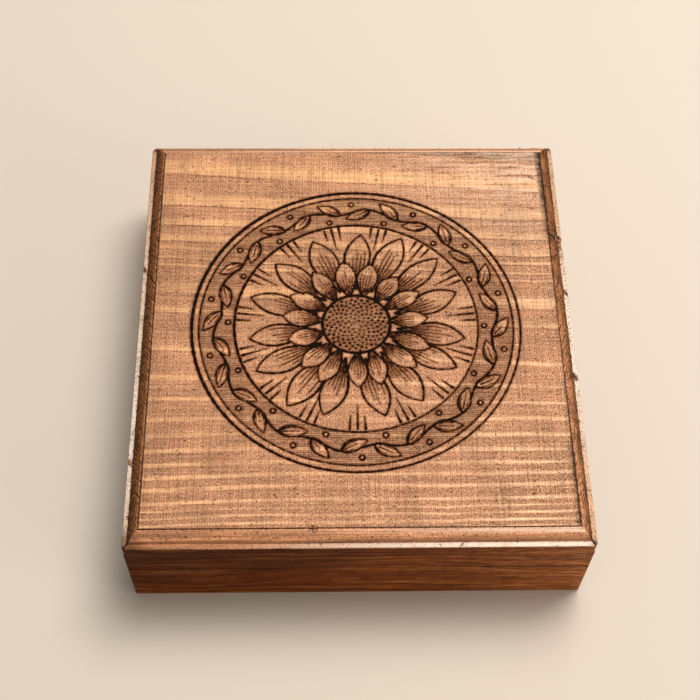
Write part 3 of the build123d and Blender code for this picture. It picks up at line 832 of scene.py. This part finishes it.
def rubbed_metal(name, colour, roughness, marks_per_mm, bump):
    """Metal rubbed with fine abrasive: hairline marks that blur its reflections, and some tarnish."""
    material, put = new_material(name)
    place = grain_place(put)
    marks = drawn_out(put, place, marks_per_mm, 3.0)
    tarnish = put("MapRange", put("TexNoise", place, 0.25, 3.0), 0.4, 0.7, 1.05, 0.75)
    colour = put("VectorMath:SCALE", colour, tarnish)
    blur = put("MapRange", marks, 0.2, 0.8, roughness - 0.06, roughness + 0.1)
    finish(put, colour, blur, put("Math:MULTIPLY", marks, 0.05), bump, {"Metallic": 1.0})
    return material


class BurntDrawing:
    """A drawing in burnt lines, kept as each grid point's distance from the nearest line's edge."""

    step = 0.15  # between the round spots that a line is burnt with

    def __init__(self, xs, ys, seed):
        self.xs, self.ys = xs, ys
        self.x, self.y = np.meshgrid(xs, ys, indexing="ij")
        self.gap = np.full(self.x.shape, FAR_MM)
        self.shade = np.zeros(self.x.shape)
        self.taken = np.zeros(self.x.shape, dtype=bool)
        self.random = np.random.default_rng(seed)

    def window(self, low, high):
        """The part of the grid between two corners."""
        i = np.searchsorted(self.xs, (low[0], high[0]))
        j = np.searchsorted(self.ys, (low[1], high[1]))
        return slice(max(i[0] - 1, 0), i[1] + 1), slice(max(j[0] - 1, 0), j[1] + 1)

    def line(self, points, half_widths):
        """Burns a line through points, as wide at each as it says, where nothing lies over it."""
        points = np.atleast_2d(points)
        runs = np.hypot(*np.diff(points, axis=0).T) if len(points) > 1 else np.zeros(0)
        marks = np.concatenate(([0.0], np.cumsum(runs)))
        along = np.linspace(0, marks[-1], max(2, int(marks[-1] / self.step) + 1))
        widths = np.interp(along, marks, np.broadcast_to(half_widths, marks.shape))
        spots = np.column_stack([np.interp(along, marks, points[:, k]) for k in (0, 1)])
        hand = self.random.uniform(0, 2 * np.pi)
        widths = widths * (1 + 0.13 * np.sin(along * 1.7 + hand) + 0.08 * np.sin(along * 5.1 + 2 * hand))
        reach = FAR_MM / 2
        for spot, width in zip(spots, widths):
            part = self.window(spot - width - reach, spot + width + reach)
            i = min(np.searchsorted(self.xs, spot[0]), len(self.xs) - 1)
            j = min(np.searchsorted(self.ys, spot[1]), len(self.ys) - 1)
            if self.taken[i, j]:
                continue
            away = np.hypot(self.x[part] - spot[0], self.y[part] - spot[1]) - width
            self.gap[part] = np.minimum(self.gap[part], away)

    def inside(self, outline):
        """The part of the grid round a closed outline, and which of its points lie inside."""
        part = self.window(outline.min(0), outline.max(0))
        x, y = self.x[part], self.y[part]
        within = np.zeros(x.shape, dtype=bool)
        for (x0, y0), (x1, y1) in zip(outline, np.roll(outline, -1, axis=0)):
            if y0 == y1:
                continue
            crosses = (y0 > y) != (y1 > y)
            within ^= crosses & (x < (x1 - x0) * (y - y0) / (y1 - y0) + x0)
        return part, within

    def cover(self, outline, shaded_within=None):
        """Puts a shape over what is drawn later, shading what shows of it nearer than a radius."""
        part, within = self.inside(outline)
        if shaded_within is not None:
            near = np.hypot(self.x[part], self.y[part]) < shaded_within
            self.shade[part] = np.maximum(self.shade[part], within & near & ~self.taken[part])
        self.taken[part] |= within


def polar(radius, angle):
    """Points at a radius and an angle from the drawing's middle."""
    return np.column_stack(np.broadcast_arrays(radius * np.cos(angle), radius * np.sin(angle)))


def leaf_lines(root, heading, length, width, fullness, bend, steps=26):
    """A leaf's or petal's left side, spine and right side, from its root to its tip."""
    share = np.linspace(0, 1, steps)
    ahead = np.array([math.cos(heading), math.sin(heading)])
    aside = np.array([-ahead[1], ahead[0]])
    spine = root + np.outer(share * length, ahead) + np.outer(bend * length * share**2, aside)
    half = width / 2 * np.sin(np.pi * share**fullness) ** 0.85
    return spine + half[:, None] * aside, spine, spine - half[:, None] * aside


def draw_leaf(art, root, heading, length, width, fullness, bend, pen, veins, shaded_within=None):
    """One leaf or petal with its outline and its veins, which covers what is drawn after it."""
    left, spine, right = leaf_lines(root, heading, length, width, fullness, bend)
    taper = np.linspace(1.0, 0.55, len(left))
    art.line(left, pen * taper)
    art.line(right, pen * taper * 0.8)
    share = np.linspace(0, 1, len(spine))
    for vein in range(veins):
        aside = 0.0 if veins == 1 else 0.62 * (2 * vein / (veins - 1) - 1)
        end = art.random.uniform(0.55, 0.86) - 0.22 * abs(aside)
        start = art.random.uniform(0.04, 0.2)
        path = spine + aside * (left - spine)
        part = (share >= start) & (share <= end)
        art.line(path[part], np.linspace(pen * 0.5, pen * 0.14, part.sum()))
    art.cover(np.concatenate((left, right[::-1])), shaded_within)


def draw_seed_head(art, radius, pen):
    """The flower's middle: seeds in the spiral order that sunflowers have, inside a ring."""
    golden = math.pi * (3 - math.sqrt(5))
    count = 150
    for n in range(3, count):
        out = radius * 0.93 * math.sqrt(n / count)
        art.line(polar(out, n * golden), 0.28 + 0.22 * out / radius)
    angles = np.linspace(0, 2 * math.pi, 241)
    art.line(polar(radius, angles), pen * 0.85)
    art.cover(polar(radius, angles), radius)


def draw_petals(art, count, start, reach, width, turn, pen, shaded_within=None):
    """A row of petals round the seed head, each a little different."""
    for n in range(count):
        heading = turn + 2 * math.pi * n / count + art.random.normal(0, 0.025)
        length = reach * art.random.uniform(0.93, 1.04) - start
        root = polar(start, heading)[0]
        size = width * art.random.uniform(0.92, 1.06)
        bend = art.random.normal(0, 0.05)
        draw_leaf(art, root, heading, length, size, 1.3, bend, pen, 5, shaded_within)


def draw_rays(art, count, inner, outer, turn, pen):
    """Three tapering strokes in each gap between the petals' tips."""
    for n in range(count):
        middle = turn + 2 * math.pi * (n + 0.5) / count
        for aside, reach in ((-0.065, 0.55), (0.0, 1.0), (0.065, 0.5)):
            far = inner + (outer - inner) * reach
            art.line(polar(np.array([inner, far]), middle + aside), np.array([pen * 0.9, pen * 0.2]))


def draw_wreath(art, count, inner, outer, pen):
    """A waving stem with leaves and berries, in a band that is shaded behind them."""
    middle, wave = (inner + outer) / 2, (outer - inner) * 0.1
    waves = count // 2

    def stem(angle):
        return middle + wave * np.sin(waves * angle)

    for n in range(count):
        angle = 2 * math.pi * (n + 0.5) / count
        side = 1 if n % 2 else -1
        heading = angle + math.pi / 2 - side * math.radians(38)
        root = polar(stem(angle), angle)[0]
        length = (outer - inner) * art.random.uniform(0.72, 0.8)
        draw_leaf(art, root, heading, length, length * 0.44, 0.85, 0.1 * side, pen * 0.75, 3)
        berry_angle = angle - side * 0.02 + math.pi / count
        berry = polar(stem(berry_angle) - side * (outer - inner) * 0.3, berry_angle)[0]
        ring = berry + polar(0.95, np.linspace(0, 2 * math.pi, 25))
        art.line(ring, pen * 0.5)
        art.cover(ring)
    angles = np.linspace(0, 2 * math.pi, 481)
    art.line(polar(stem(angles), angles), pen * 0.7)
    out = np.hypot(art.x, art.y)
    art.shade[(out > inner) & (out < outer) & ~art.taken] = 1.0


def draw_medallion(art, burnt):
    """A sunflower in a wreath: an old pattern for boxes and chests."""
    pen = burnt.line_width / MM / 2
    seed = burnt.seed_radius / MM
    inner, band, outer = (r / MM for r in (burnt.inner_radius, burnt.band_radius, burnt.outer_radius))
    half_turn = math.pi / burnt.petals
    draw_seed_head(art, seed, pen)
    draw_petals(art, burnt.petals, seed - 1, inner * 0.62, 7.6, 0.1, pen * 0.8)
    draw_petals(art, burnt.petals, seed + 3, inner * 0.93, 9.8, 0.1 + half_turn, pen * 0.9, inner * 0.6)
    draw_rays(art, burnt.petals, inner - 1.2, inner * 0.76, 0.1 + half_turn, pen * 0.75)
    angles = np.linspace(0, 2 * math.pi, 721)
    swell = 0.75 + 0.25 * np.cos(angles - math.radians(140))
    art.line(polar(outer, angles), pen * swell)
    art.line(polar(band, angles), pen * 0.45)
    art.line(polar(inner, angles), pen * 0.8 * swell)
    draw_wreath(art, burnt.leaves, inner, band, pen)


def smooth_step(value):
    """Eases a value from 0 to 1."""
    value = np.clip(value, 0, 1)
    return value * value * (3 - 2 * value)


def cells_near_lines(gap, columns, rows):
    """Which squares of the field have a burnt line in or beside them."""
    near = np.zeros((columns, rows), dtype=bool)
    for di in range(SPLIT + 1):
        for dj in range(SPLIT + 1):
            corner = gap[di : di + columns * SPLIT : SPLIT, dj : dj + rows * SPLIT : SPLIT]
            near |= corner[:columns, :rows] < NEAR_MM
    return near


def field_faces(near):
    """Faces for the field: whole squares where it is plain, and split ones where a line is near.

    Gives the faces as places in the fine grid, and which places of that grid are used.
    """
    columns, rows = near.shape
    used = np.zeros((columns * SPLIT + 1, rows * SPLIT + 1), dtype=bool)
    used[::SPLIT, ::SPLIT] = True
    i, j = np.nonzero(near)
    for di in range(SPLIT + 1):
        for dj in range(SPLIT + 1):
            used[i * SPLIT + di, j * SPLIT + dj] = True
    faces = []
    side = range(SPLIT)
    rim = [(k, 0) for k in side] + [(SPLIT, k) for k in side]
    rim += [(SPLIT - k, SPLIT) for k in side] + [(0, SPLIT - k) for k in side]
    for column in range(columns):
        for row in range(rows):
            i, j = column * SPLIT, row * SPLIT
            if near[column, row]:
                for a in range(i, i + SPLIT):
                    faces += [((a, b), (a + 1, b), (a + 1, b + 1), (a, b + 1)) for b in range(j, j + SPLIT)]
            else:
                faces.append(tuple((i + a, j + b) for a, b in rim if used[i + a, j + b]))
    return faces, used


def carved_field(art, columns, rows, height, depth):
    """The field's points and faces with the burnt lines cut into it, and each grid place's number."""
    faces, used = field_faces(cells_near_lines(art.gap, columns, rows))
    number = np.full(used.shape, -1)
    number[used] = np.arange(used.sum())
    cut = depth * smooth_step(-art.gap / LINE_WALL_MM + LINE_START) + SHADED_DEPTH_MM * art.shade
    heights = height - np.where(used, cut, 0.0)
    points = np.column_stack((art.x[used], art.y[used], heights[used]))
    return points, [tuple(number[i, j] for i, j in face) for face in faces], number


def moulding_profile(moulding, bottom, lip, field):
    """The moulding's section from its outer foot to the field: distance in from the face, and height."""
    arris, width, fall, ovolo, shoulder = (
        value / MM
        for value in (
            moulding.arris_radius,
            moulding.lip_width,
            moulding.lip_fall,
            moulding.ovolo_radius,
            moulding.shoulder_width,
        )
    )
    top = lip + fall
    points = [(0.0, bottom), (0.0, (bottom + lip) / 2)]
    for turn in np.radians((0, 30, 60, 90)):
        points.append((arris * (1 - math.cos(turn)), lip - arris * (1 - math.sin(turn))))
    points += [(width * 0.6, lip + fall * 0.6), (width - 0.14, top), (width, top - 0.12)]
    for turn in np.radians((6, 20, 35, 50, 65, 80, 90)):
        points.append((width + ovolo * (1 - math.cos(turn)), top + ovolo * math.sin(turn)))
    edge = width + ovolo + shoulder
    step = top + ovolo
    points += [(edge - 0.16, step), (edge - 0.03, step - 0.1), (edge, step + 0.05), (edge, field - 0.08)]
    return points


def ring_of(half_x, half_y, columns, rows, corner_cut):
    """Points round a rectangle, counter-clockwise from its front left corner."""
    across, along = np.linspace(-half_x, half_x, columns + 1), np.linspace(-half_y, half_y, rows + 1)
    front = [(x, -half_y) for x in across[:-1]]
    right = [(half_x, y) for y in along[:-1]]
    back = [(x, half_y) for x in across[:0:-1]]
    left = [(-half_x, y) for y in along[:0:-1]]
    ring = np.array(front + right + back + left)
    for corner in (0, columns, columns + rows, 2 * columns + rows):
        ring[corner] -= np.sign(ring[corner]) * corner_cut
    return ring


def moulding_levels(profile, high, columns, rows, corner_wear):
    """The moulding as rings of points, one for each corner of its section, from below."""
    levels = []
    for inset, height in profile:
        rounding = max(0.0, 1 - inset / CORNER_RADIUS_MM) * CORNER_CUT * CORNER_RADIUS_MM
        cut = rounding + corner_wear * max(0.0, 1 - inset)
        ring = ring_of(high[0] - inset, high[1] - inset, columns, rows, cut)
        levels.append(np.column_stack((ring, np.full(len(ring), height))))
    return levels


def wear(points, field_height):
    """Rubs the moulding down unevenly and knocks chips out of it, and gives where the chips are."""
    foot, crown = field_height - 5, field_height - 0.5
    near_edge = 70
    chipped = np.zeros(len(points))
    for n, point in enumerate(points):
        place = Vector(point)
        slow, quick = noise.noise(place * 0.12), noise.noise(place * 0.9)
        if foot < place.z < crown:
            points[n, 2] += min(0.0, 0.06 * slow + 0.08 * quick)
        for x, y, z, reach, depth in CHIPS_MM:
            off = place - Vector((x, y, z))
            away = Vector((off.x + 0.4 * off.y, off.y + 0.4 * off.x, off.z)).length / reach
            if away < 1:
                chipped[n] = max(chipped[n], (1 - away * away) * (0.8 + quick))
                knock = depth * (1 - away * away) * (0.75 + 0.5 * quick)
                points[n, 2] -= knock * 0.8
                inwards = np.sign(points[n, :2]) * (np.abs(points[n, :2]) > near_edge)
                points[n, :2] -= knock * 0.35 * inwards
    return chipped


def make_mesh_piece(name, points_mm, faces, body, sharp_degrees=40.0):
    """A piece of the box from points in millimetres, smooth but for its sharp edges."""
    mesh = bpy.data.meshes.new(name)
    mesh.from_pydata((np.asarray(points_mm) * MM).tolist(), [], faces)
    mesh.validate()
    mesh.polygons.foreach_set("use_smooth", [True] * len(mesh.polygons))
    mesh.set_sharp_from_angle(angle=math.radians(sharp_degrees))
    mesh.update()
    piece = bpy.data.objects.new(name, mesh)
    bpy.context.scene.collection.objects.link(piece)
    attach(piece, body)
    return piece


def box_mm(node):
    """A solid's lowest and highest corners in millimetres."""
    low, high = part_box(node)
    return np.array(low) / MM, np.array(high) / MM


class JEWELRYBOX_OT_lid_board(bpy.types.Operator):
    """Make the lid's board with its burnt drawing and worn moulding"""

    bl_idname = "jewelry_box.lid_board"
    bl_label = "Lid Board"

    def execute(self, context):
        scene = context.scene
        moulding, burnt = scene.jewelry_box_moulding, scene.jewelry_box_burnt
        low, high = box_mm("lid_board")
        rise = (moulding.lip_fall + moulding.ovolo_radius + moulding.quirk) / MM
        lip = high[2] - rise
        profile = moulding_profile(moulding, low[2], lip, high[2])
        half_x, half_y = high[0] - profile[-1][0], high[1] - profile[-1][0]
        columns, rows = round(2 * half_x / CELL_MM), round(2 * half_y / CELL_MM)
        xs = np.linspace(-half_x, half_x, columns * SPLIT + 1)
        ys = np.linspace(-half_y, half_y, rows * SPLIT + 1)
        art = BurntDrawing(xs, ys, seed=11)
        draw_medallion(art, burnt)
        points, faces, number = carved_field(art, columns, rows, high[2], burnt.depth / MM)
        used = number >= 0

        # The moulding runs round the field on the same columns.
        levels = moulding_levels(profile, high, columns, rows, moulding.corner_wear / MM)
        around = len(levels[0])
        rings = [len(points) + level * around + np.arange(around) for level in range(len(levels))]
        field_edge = ring_of(half_x, half_y, columns, rows, 0.0)
        i = np.rint((field_edge[:, 0] + half_x) / (xs[1] - xs[0])).astype(int)
        j = np.rint((field_edge[:, 1] + half_y) / (ys[1] - ys[0])).astype(int)
        rings.append(number[i, j])
        for lower, upper in zip(rings, rings[1:]):
            after = np.roll(np.arange(around), -1)
            faces += [(lower[n], lower[m], upper[m], upper[n]) for n, m in enumerate(after)]
        faces.append(tuple(rings[0][::-1]))
        points = np.concatenate((points, *levels))
        outer = np.concatenate(rings)
        worn = points[outer]
        chipped = np.zeros(len(points))
        chipped[outer] = wear(worn, high[2])
        points[outer] = worn

        piece = make_mesh_piece("lid_board_burnt", points, [tuple(map(int, f)) for f in faces], "lid")
        off_field = np.zeros(len(points) - used.sum())
        for name, values in (
            ("line_gap", np.concatenate((art.gap[used], off_field + FAR_MM))),
            ("shade", np.concatenate((art.shade[used], off_field))),
            ("chip", chipped),
        ):
            piece.data.attributes.new(name, "FLOAT", "POINT").data.foreach_set("value", values)
        use_material(piece, stained_pine_lid(scene.jewelry_box_pine, burnt, moulding, high[0], high[1], lip))
        # The upright edge at the front and back is stained as the rails below it are.
        piece.data.materials.append(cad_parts["lid_front_rail"].data.materials[0])
        upright, below_lip = 0.6, (lip - 0.4) * MM
        for face in piece.data.polygons:
            if abs(face.normal.y) > upright and face.center.z < below_lip:
                face.material_index = 1
        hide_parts("lid_board")
        return {"FINISHED"}


class JEWELRYBOX_OT_boards(bpy.types.Operator):
    """Stain the side boards, the rails, the dividers and the bottom"""

    bl_idname = "jewelry_box.boards"
    bl_label = "Boards"

    def execute(self, context):
        split = box_mm("tray_front_board")[1][2]
        for *grain, nodes in BOARDS:
            material = stained_pine_board(context.scene.jewelry_box_pine, split, *grain)
            for node in nodes:
                use_material(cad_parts[node], material)
        use_material(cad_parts["tray_bottom"], birch_plywood())
        return {"FINISHED"}


def grid_box(low, high, cells, rounding):
    """A closed box of quads with softly rounded edges, in millimetres."""
    low, high = np.array(low, dtype=float), np.array(high, dtype=float)
    lines = [np.linspace(low[k], high[k], cells[k] + 1) for k in range(3)]
    number, points, faces = {}, [], []

    def vertex(i, j, k):
        if (i, j, k) not in number:
            number[i, j, k] = len(points)
            points.append((lines[0][i], lines[1][j], lines[2][k]))
        return number[i, j, k]

    for axis in range(3):
        a, b = (axis + 1) % 3, (axis + 2) % 3
        for end in (0, cells[axis]):
            for u in range(cells[a]):
                for v in range(cells[b]):
                    corners = []
                    for du, dv in ((0, 0), (1, 0), (1, 1), (0, 1)):
                        spot = [0, 0, 0]
                        spot[axis], spot[a], spot[b] = end, u + du, v + dv
                        corners.append(vertex(*spot))
                    faces.append(tuple(corners if end else corners[::-1]))
    points = np.array(points)
    core = np.clip(points, low + rounding, high - rounding)
    out = points - core
    length = np.linalg.norm(out, axis=1, keepdims=True)
    soft = core + out / np.maximum(length, 1e-9) * np.minimum(length, rounding)
    return np.where(length > 0, soft, points), faces


def settle_cover(piece, held, pressure, slack, cap_mm):
    """Lets a cloth cover swell over its filling, held where it is glued, and keeps that shape.

    It works on an enlarged copy, because Blender's cloth is set for things the size of furniture.
    """
    enlarge = 20.0
    mesh = piece.data
    start = np.empty(len(mesh.vertices) * 3)
    mesh.vertices.foreach_get("co", start)
    start = start.reshape(-1, 3)
    middle = start.mean(0)
    large = mesh.copy()
    large.vertices.foreach_set("co", ((start - middle) * enlarge).ravel())
    copy = bpy.data.objects.new(piece.name + "_cover", large)
    bpy.context.scene.collection.objects.link(copy)
    glued = copy.vertex_groups.new(name="glued")
    glued.add([int(n) for n in np.flatnonzero(held)], 1.0, "REPLACE")
    cloth = copy.modifiers.new("cover", "CLOTH")
    cloth.settings.quality = 6
    cloth.settings.mass = 0.25
    cloth.settings.vertex_group_mass = "glued"
    cloth.settings.use_pressure = True
    cloth.settings.uniform_pressure_force = pressure
    cloth.settings.shrink_min = -slack
    cloth.settings.effector_weights.gravity = 0.0
    scene = bpy.context.scene
    last_frame = 20
    for number in range(1, last_frame + 1):
        scene.frame_set(number)
    shown = copy.evaluated_get(bpy.context.evaluated_depsgraph_get())
    moved = np.empty(len(large.vertices) * 3)
    shown.data.vertices.foreach_get("co", moved)
    shift = moved.reshape(-1, 3) / enlarge + middle - start
    length = np.linalg.norm(shift, axis=1, keepdims=True)
    cap = cap_mm * MM
    shift *= np.minimum(1.0, cap / np.maximum(length, 1e-12))
    mesh.vertices.foreach_set("co", (start + shift).ravel())
    mesh.update()
    scene.frame_set(1)
    bpy.data.objects.remove(copy)
    bpy.data.meshes.remove(large)


class JEWELRYBOX_OT_felt_pads(bpy.types.Operator):
    """Lay the felt in the ring bay and the three compartments"""

    bl_idname = "jewelry_box.felt_pads"
    bl_label = "Felt Pads"

    def execute(self, context):
        material = wool_felt(context.scene.jewelry_box_lining)
        cell, rounding, sharp_degrees = 1.6, 0.45, 80.0
        for node in ("ring_bay_felt", "left_bay_felt", "middle_bay_felt", "back_bay_felt"):
            low, high = box_mm(node)
            cells = [max(2, round((high[k] - low[k]) / cell)) for k in (0, 1)] + [2]
            points, faces = grid_box(low, high, cells, rounding)
            for n, point in enumerate(points):
                if point[2] > low[2] + 1.0:
                    points[n, 2] -= 0.12 * abs(noise.noise(Vector(point) * 0.14)) + 0.03
            piece = make_mesh_piece(node + "_sheet", points, faces, "tray", sharp_degrees)
            use_material(piece, material)
            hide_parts(node)
        return {"FINISHED"}


class JEWELRYBOX_OT_ring_rolls(bpy.types.Operator):
    """Make the velvet rolls that hold rings between them"""

    bl_idname = "jewelry_box.ring_rolls"
    bl_label = "Ring Rolls"

    def execute(self, context):
        lining = context.scene.jewelry_box_lining
        material = woven_velvet(lining)
        for n in range(1, 6):
            node = f"ring_roll_{n}"
            low, high = box_mm(node)
            points, faces = self.roll(low, high, n)
            piece = make_mesh_piece(node + "_velvet", points, faces, "tray", sharp_degrees=60.0)
            held = points[:, 2] < low[2] + 0.05
            settle_cover(piece, held, pressure=3.0, slack=0.03, cap_mm=0.3)
            smooth = piece.modifiers.new("soft", "SUBSURF")
            smooth.levels = smooth.render_levels = 1
            use_material(piece, material)
            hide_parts(node)
        return {"FINISHED"}

    @staticmethod
    def roll(low, high, seed):
        """A roll along X with rounded ends and a flat underneath, slightly smaller than its solid."""
        slim = 0.22
        radius = (high[1] - low[1]) / 2 - slim
        middle_y = (low[1] + high[1]) / 2
        middle_z = high[2] - slim - radius
        columns, around, end_round = 100, 28, 2.6
        points, faces = [], []
        half = (high[0] - low[0]) / 2 - slim
        for column in range(columns + 1):
            share = column / columns
            x = -half * math.cos(math.pi * share) if share in (0, 1) else half * (2 * share - 1)
            into = max(0.0, abs(x) - (half - end_round)) / end_round
            size = radius - end_round * (1 - math.sqrt(max(0.0, 1 - into * into)))
            for k in range(around):
                turn = 2 * math.pi * k / around
                spot = Vector((x * 0.08, math.cos(turn) * 2, math.sin(turn) * 2 + seed * 9))
                lump = 0.06 * noise.noise(spot)
                y = middle_y + (size + lump) * math.cos(turn)
                z = middle_z + (size + lump) * math.sin(turn)
                points.append((x, y, max(z, low[2])))
        for column in range(columns):
            for k in range(around):
                m = (k + 1) % around
                a, b = column * around, (column + 1) * around
                faces.append((a + k, b + k, b + m, a + m))
        faces.append(tuple(range(around)))
        faces.append(tuple(reversed(range(columns * around, (columns + 1) * around))))
        return np.array(points), faces


class JEWELRYBOX_OT_lid_lining(bpy.types.Operator):
    """Make the padded velvet panel inside the lid"""

    bl_idname = "jewelry_box.lid_lining"
    bl_label = "Lid Lining"

    def execute(self, context):
        lining = context.scene.jewelry_box_lining
        low, high = box_mm("lid_lining")
        crown, room = 1.2, 0.2
        start, end = low + (room, room, crown), high - (room, room, 0.0)
        points, faces = grid_box(start, end, cells=[56, 62, 4], rounding=1.0)
        across = 1 - (points[:, 0] / high[0]) ** 6
        along = 1 - (points[:, 1] / high[1]) ** 6
        below = np.clip((high[2] - points[:, 2]) / (high[2] - start[2]), 0, 1)
        points[:, 2] -= 0.6 * crown * np.clip(across, 0, 1) * np.clip(along, 0, 1) * below
        piece = make_mesh_piece("lid_lining_velvet", points, faces, "lid", sharp_degrees=70.0)
        held = points[:, 2] > high[2] - 0.05
        swell = min(lining.swell / MM, 0.45 * crown)
        settle_cover(piece, held, pressure=2.0, slack=0.02, cap_mm=swell)
        smooth = piece.modifiers.new("soft", "SUBSURF")
        smooth.levels = smooth.render_levels = 1
        use_material(piece, woven_velvet(lining))
        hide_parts("lid_lining")
        return {"FINISHED"}


class JEWELRYBOX_OT_hardware(bpy.types.Operator):
    """Finish the hinges, their screws and the magnets"""

    bl_idname = "jewelry_box.hardware"
    bl_label = "Hardware"

    def execute(self, context):
        metal = context.scene.jewelry_box_metal
        leaf = rubbed_metal("rolled_brass", metal.brass, 0.3, (0.4, 9.0, 9.0), 0.4)
        screw = rubbed_metal("turned_brass", metal.brass, 0.26, (6.0, 6.0, 6.0), 0.3)
        plate = rubbed_metal("nickel_plate", metal.nickel, 0.16, (3.0, 3.0, 3.0), 0.15)
        for node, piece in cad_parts.items():
            if "screws" in node:
                use_material(piece, screw)
            elif "hinge" in node:
                use_material(piece, leaf)
            elif "magnets" in node:
                use_material(piece, plate)
        return {"FINISHED"}


class JEWELRYBOX_OT_stage(bpy.types.Operator):
    """Put the box on a pale floor under soft light, and place the camera"""

    bl_idname = "jewelry_box.stage"
    bl_label = "Stage"

    def execute(self, context):
        stage = context.scene.jewelry_box_stage
        self.make_floor(stage)
        self.make_lights(stage)
        self.make_camera(context.scene, stage)
        context.scene.view_settings.view_transform = "Standard"
        return {"FINISHED"}

    @staticmethod
    def make_floor(stage):
        """A plain matt floor, large enough to fill every view."""
        reach = 4.0
        mesh = bpy.data.meshes.new("floor")
        corners = [(-reach, -reach, 0), (reach, -reach, 0), (reach, reach, 0), (-reach, reach, 0)]
        mesh.from_pydata(corners, [], [(0, 1, 2, 3)])
        floor = bpy.data.objects.new("floor", mesh)
        bpy.context.scene.collection.objects.link(floor)
        material, put = new_material("painted_floor")
        looks = {"Base Color": tuple(stage.floor), "Roughness": 0.75}
        put("OutputMaterial", put("BsdfPrincipled", sockets=looks))
        use_material(floor, material)

    @staticmethod
    def make_lights(stage):
        """A large soft light above and behind, a weak one in front, and even light all round."""
        for name, place, size, power, tint in (
            ("key_light", (0.4, 0.45, 1.45), 0.9, stage.key_power, "#FFF3E6"),
            ("fill_light", (1.0, -0.55, 0.4), 0.7, stage.fill_power, "#FFEBD6"),
        ):
            data = bpy.data.lights.new(name, "AREA")
            data.shape, data.size, data.energy, data.color = "SQUARE", size, power, linear(tint)
            light = bpy.data.objects.new(name, data)
            light.location = place
            light.rotation_euler = (-Vector(place)).to_track_quat("-Z", "Y").to_euler()
            bpy.context.scene.collection.objects.link(light)
        world = bpy.data.worlds.new("studio")
        world.use_nodes = True
        world.node_tree.nodes.clear()
        light = add(world.node_tree, "Background", linear("#FFF6EA"), stage.sky)
        add(world.node_tree, "OutputWorld", light)
        bpy.context.scene.world = world

    @staticmethod
    def make_camera(scene, stage):
        """The camera where the photograph was taken from."""
        data = bpy.data.cameras.new("camera")
        data.sensor_width, data.lens = 36.0, stage.lens_mm
        camera = bpy.data.objects.new("camera", data)
        pitch, yaw, roll = stage.camera_pitch, stage.camera_yaw, stage.camera_roll
        ahead = Vector((-math.sin(yaw) * math.cos(pitch), math.cos(yaw) * math.cos(pitch), -math.sin(pitch)))
        level = Vector((math.cos(yaw), math.sin(yaw), 0.0))
        up = level.cross(ahead)
        right = math.cos(roll) * level + math.sin(roll) * up
        top = math.cos(roll) * up - math.sin(roll) * level
        turn = Matrix((right, top, -ahead)).transposed().to_4x4()
        camera.matrix_world = Matrix.Translation(Vector(stage.camera_place)) @ turn
        scene.collection.objects.link(camera)
        scene.camera = camera


OPERATORS = (
    JEWELRYBOX_OT_stage,
    JEWELRYBOX_OT_boards,
    JEWELRYBOX_OT_lid_board,
    JEWELRYBOX_OT_felt_pads,
    JEWELRYBOX_OT_ring_rolls,
    JEWELRYBOX_OT_lid_lining,
    JEWELRYBOX_OT_hardware,
)
SETTINGS = {
    "jewelry_box_pine": PineSettings,
    "jewelry_box_moulding": MouldingSettings,
    "jewelry_box_burnt": BurntSettings,
    "jewelry_box_lining": LiningSettings,
    "jewelry_box_metal": MetalSettings,
    "jewelry_box_stage": StageSettings,
}


class JEWELRYBOX_PT_panel(bpy.types.Panel):
    """The box's pieces and their settings"""

    bl_idname = "JEWELRYBOX_PT_panel"
    bl_label = "Jewelry Box"
    bl_space_type = "VIEW_3D"
    bl_region_type = "UI"
    bl_category = "Jewelry Box"

    def draw(self, context):
        for operator in OPERATORS:
            self.layout.operator(operator.bl_idname)
        for name, group in SETTINGS.items():
            box = self.layout.box()
            box.label(text=group.__doc__)
            for key in group.__annotations__:
                box.prop(getattr(context.scene, name), key)


def register():
    """Makes the settings, the operators and the panel known to Blender."""
    for group in (*SETTINGS.values(), *OPERATORS, JEWELRYBOX_PT_panel):
        bpy.utils.register_class(group)
    for name, group in SETTINGS.items():
        setattr(bpy.types.Scene, name, PointerProperty(type=group))


def unregister():
    """Takes them away again."""
    for name in SETTINGS:
        delattr(bpy.types.Scene, name)
    for group in reversed((*SETTINGS.values(), *OPERATORS, JEWELRYBOX_PT_panel)):
        bpy.utils.unregister_class(group)


def main():
    """Builds the whole box on its stage."""
    register()
    for operator in OPERATORS:
        group, name = operator.bl_idname.split(".")
        getattr(getattr(bpy.ops, group), name)()


if __name__ == "__main__":
    main()
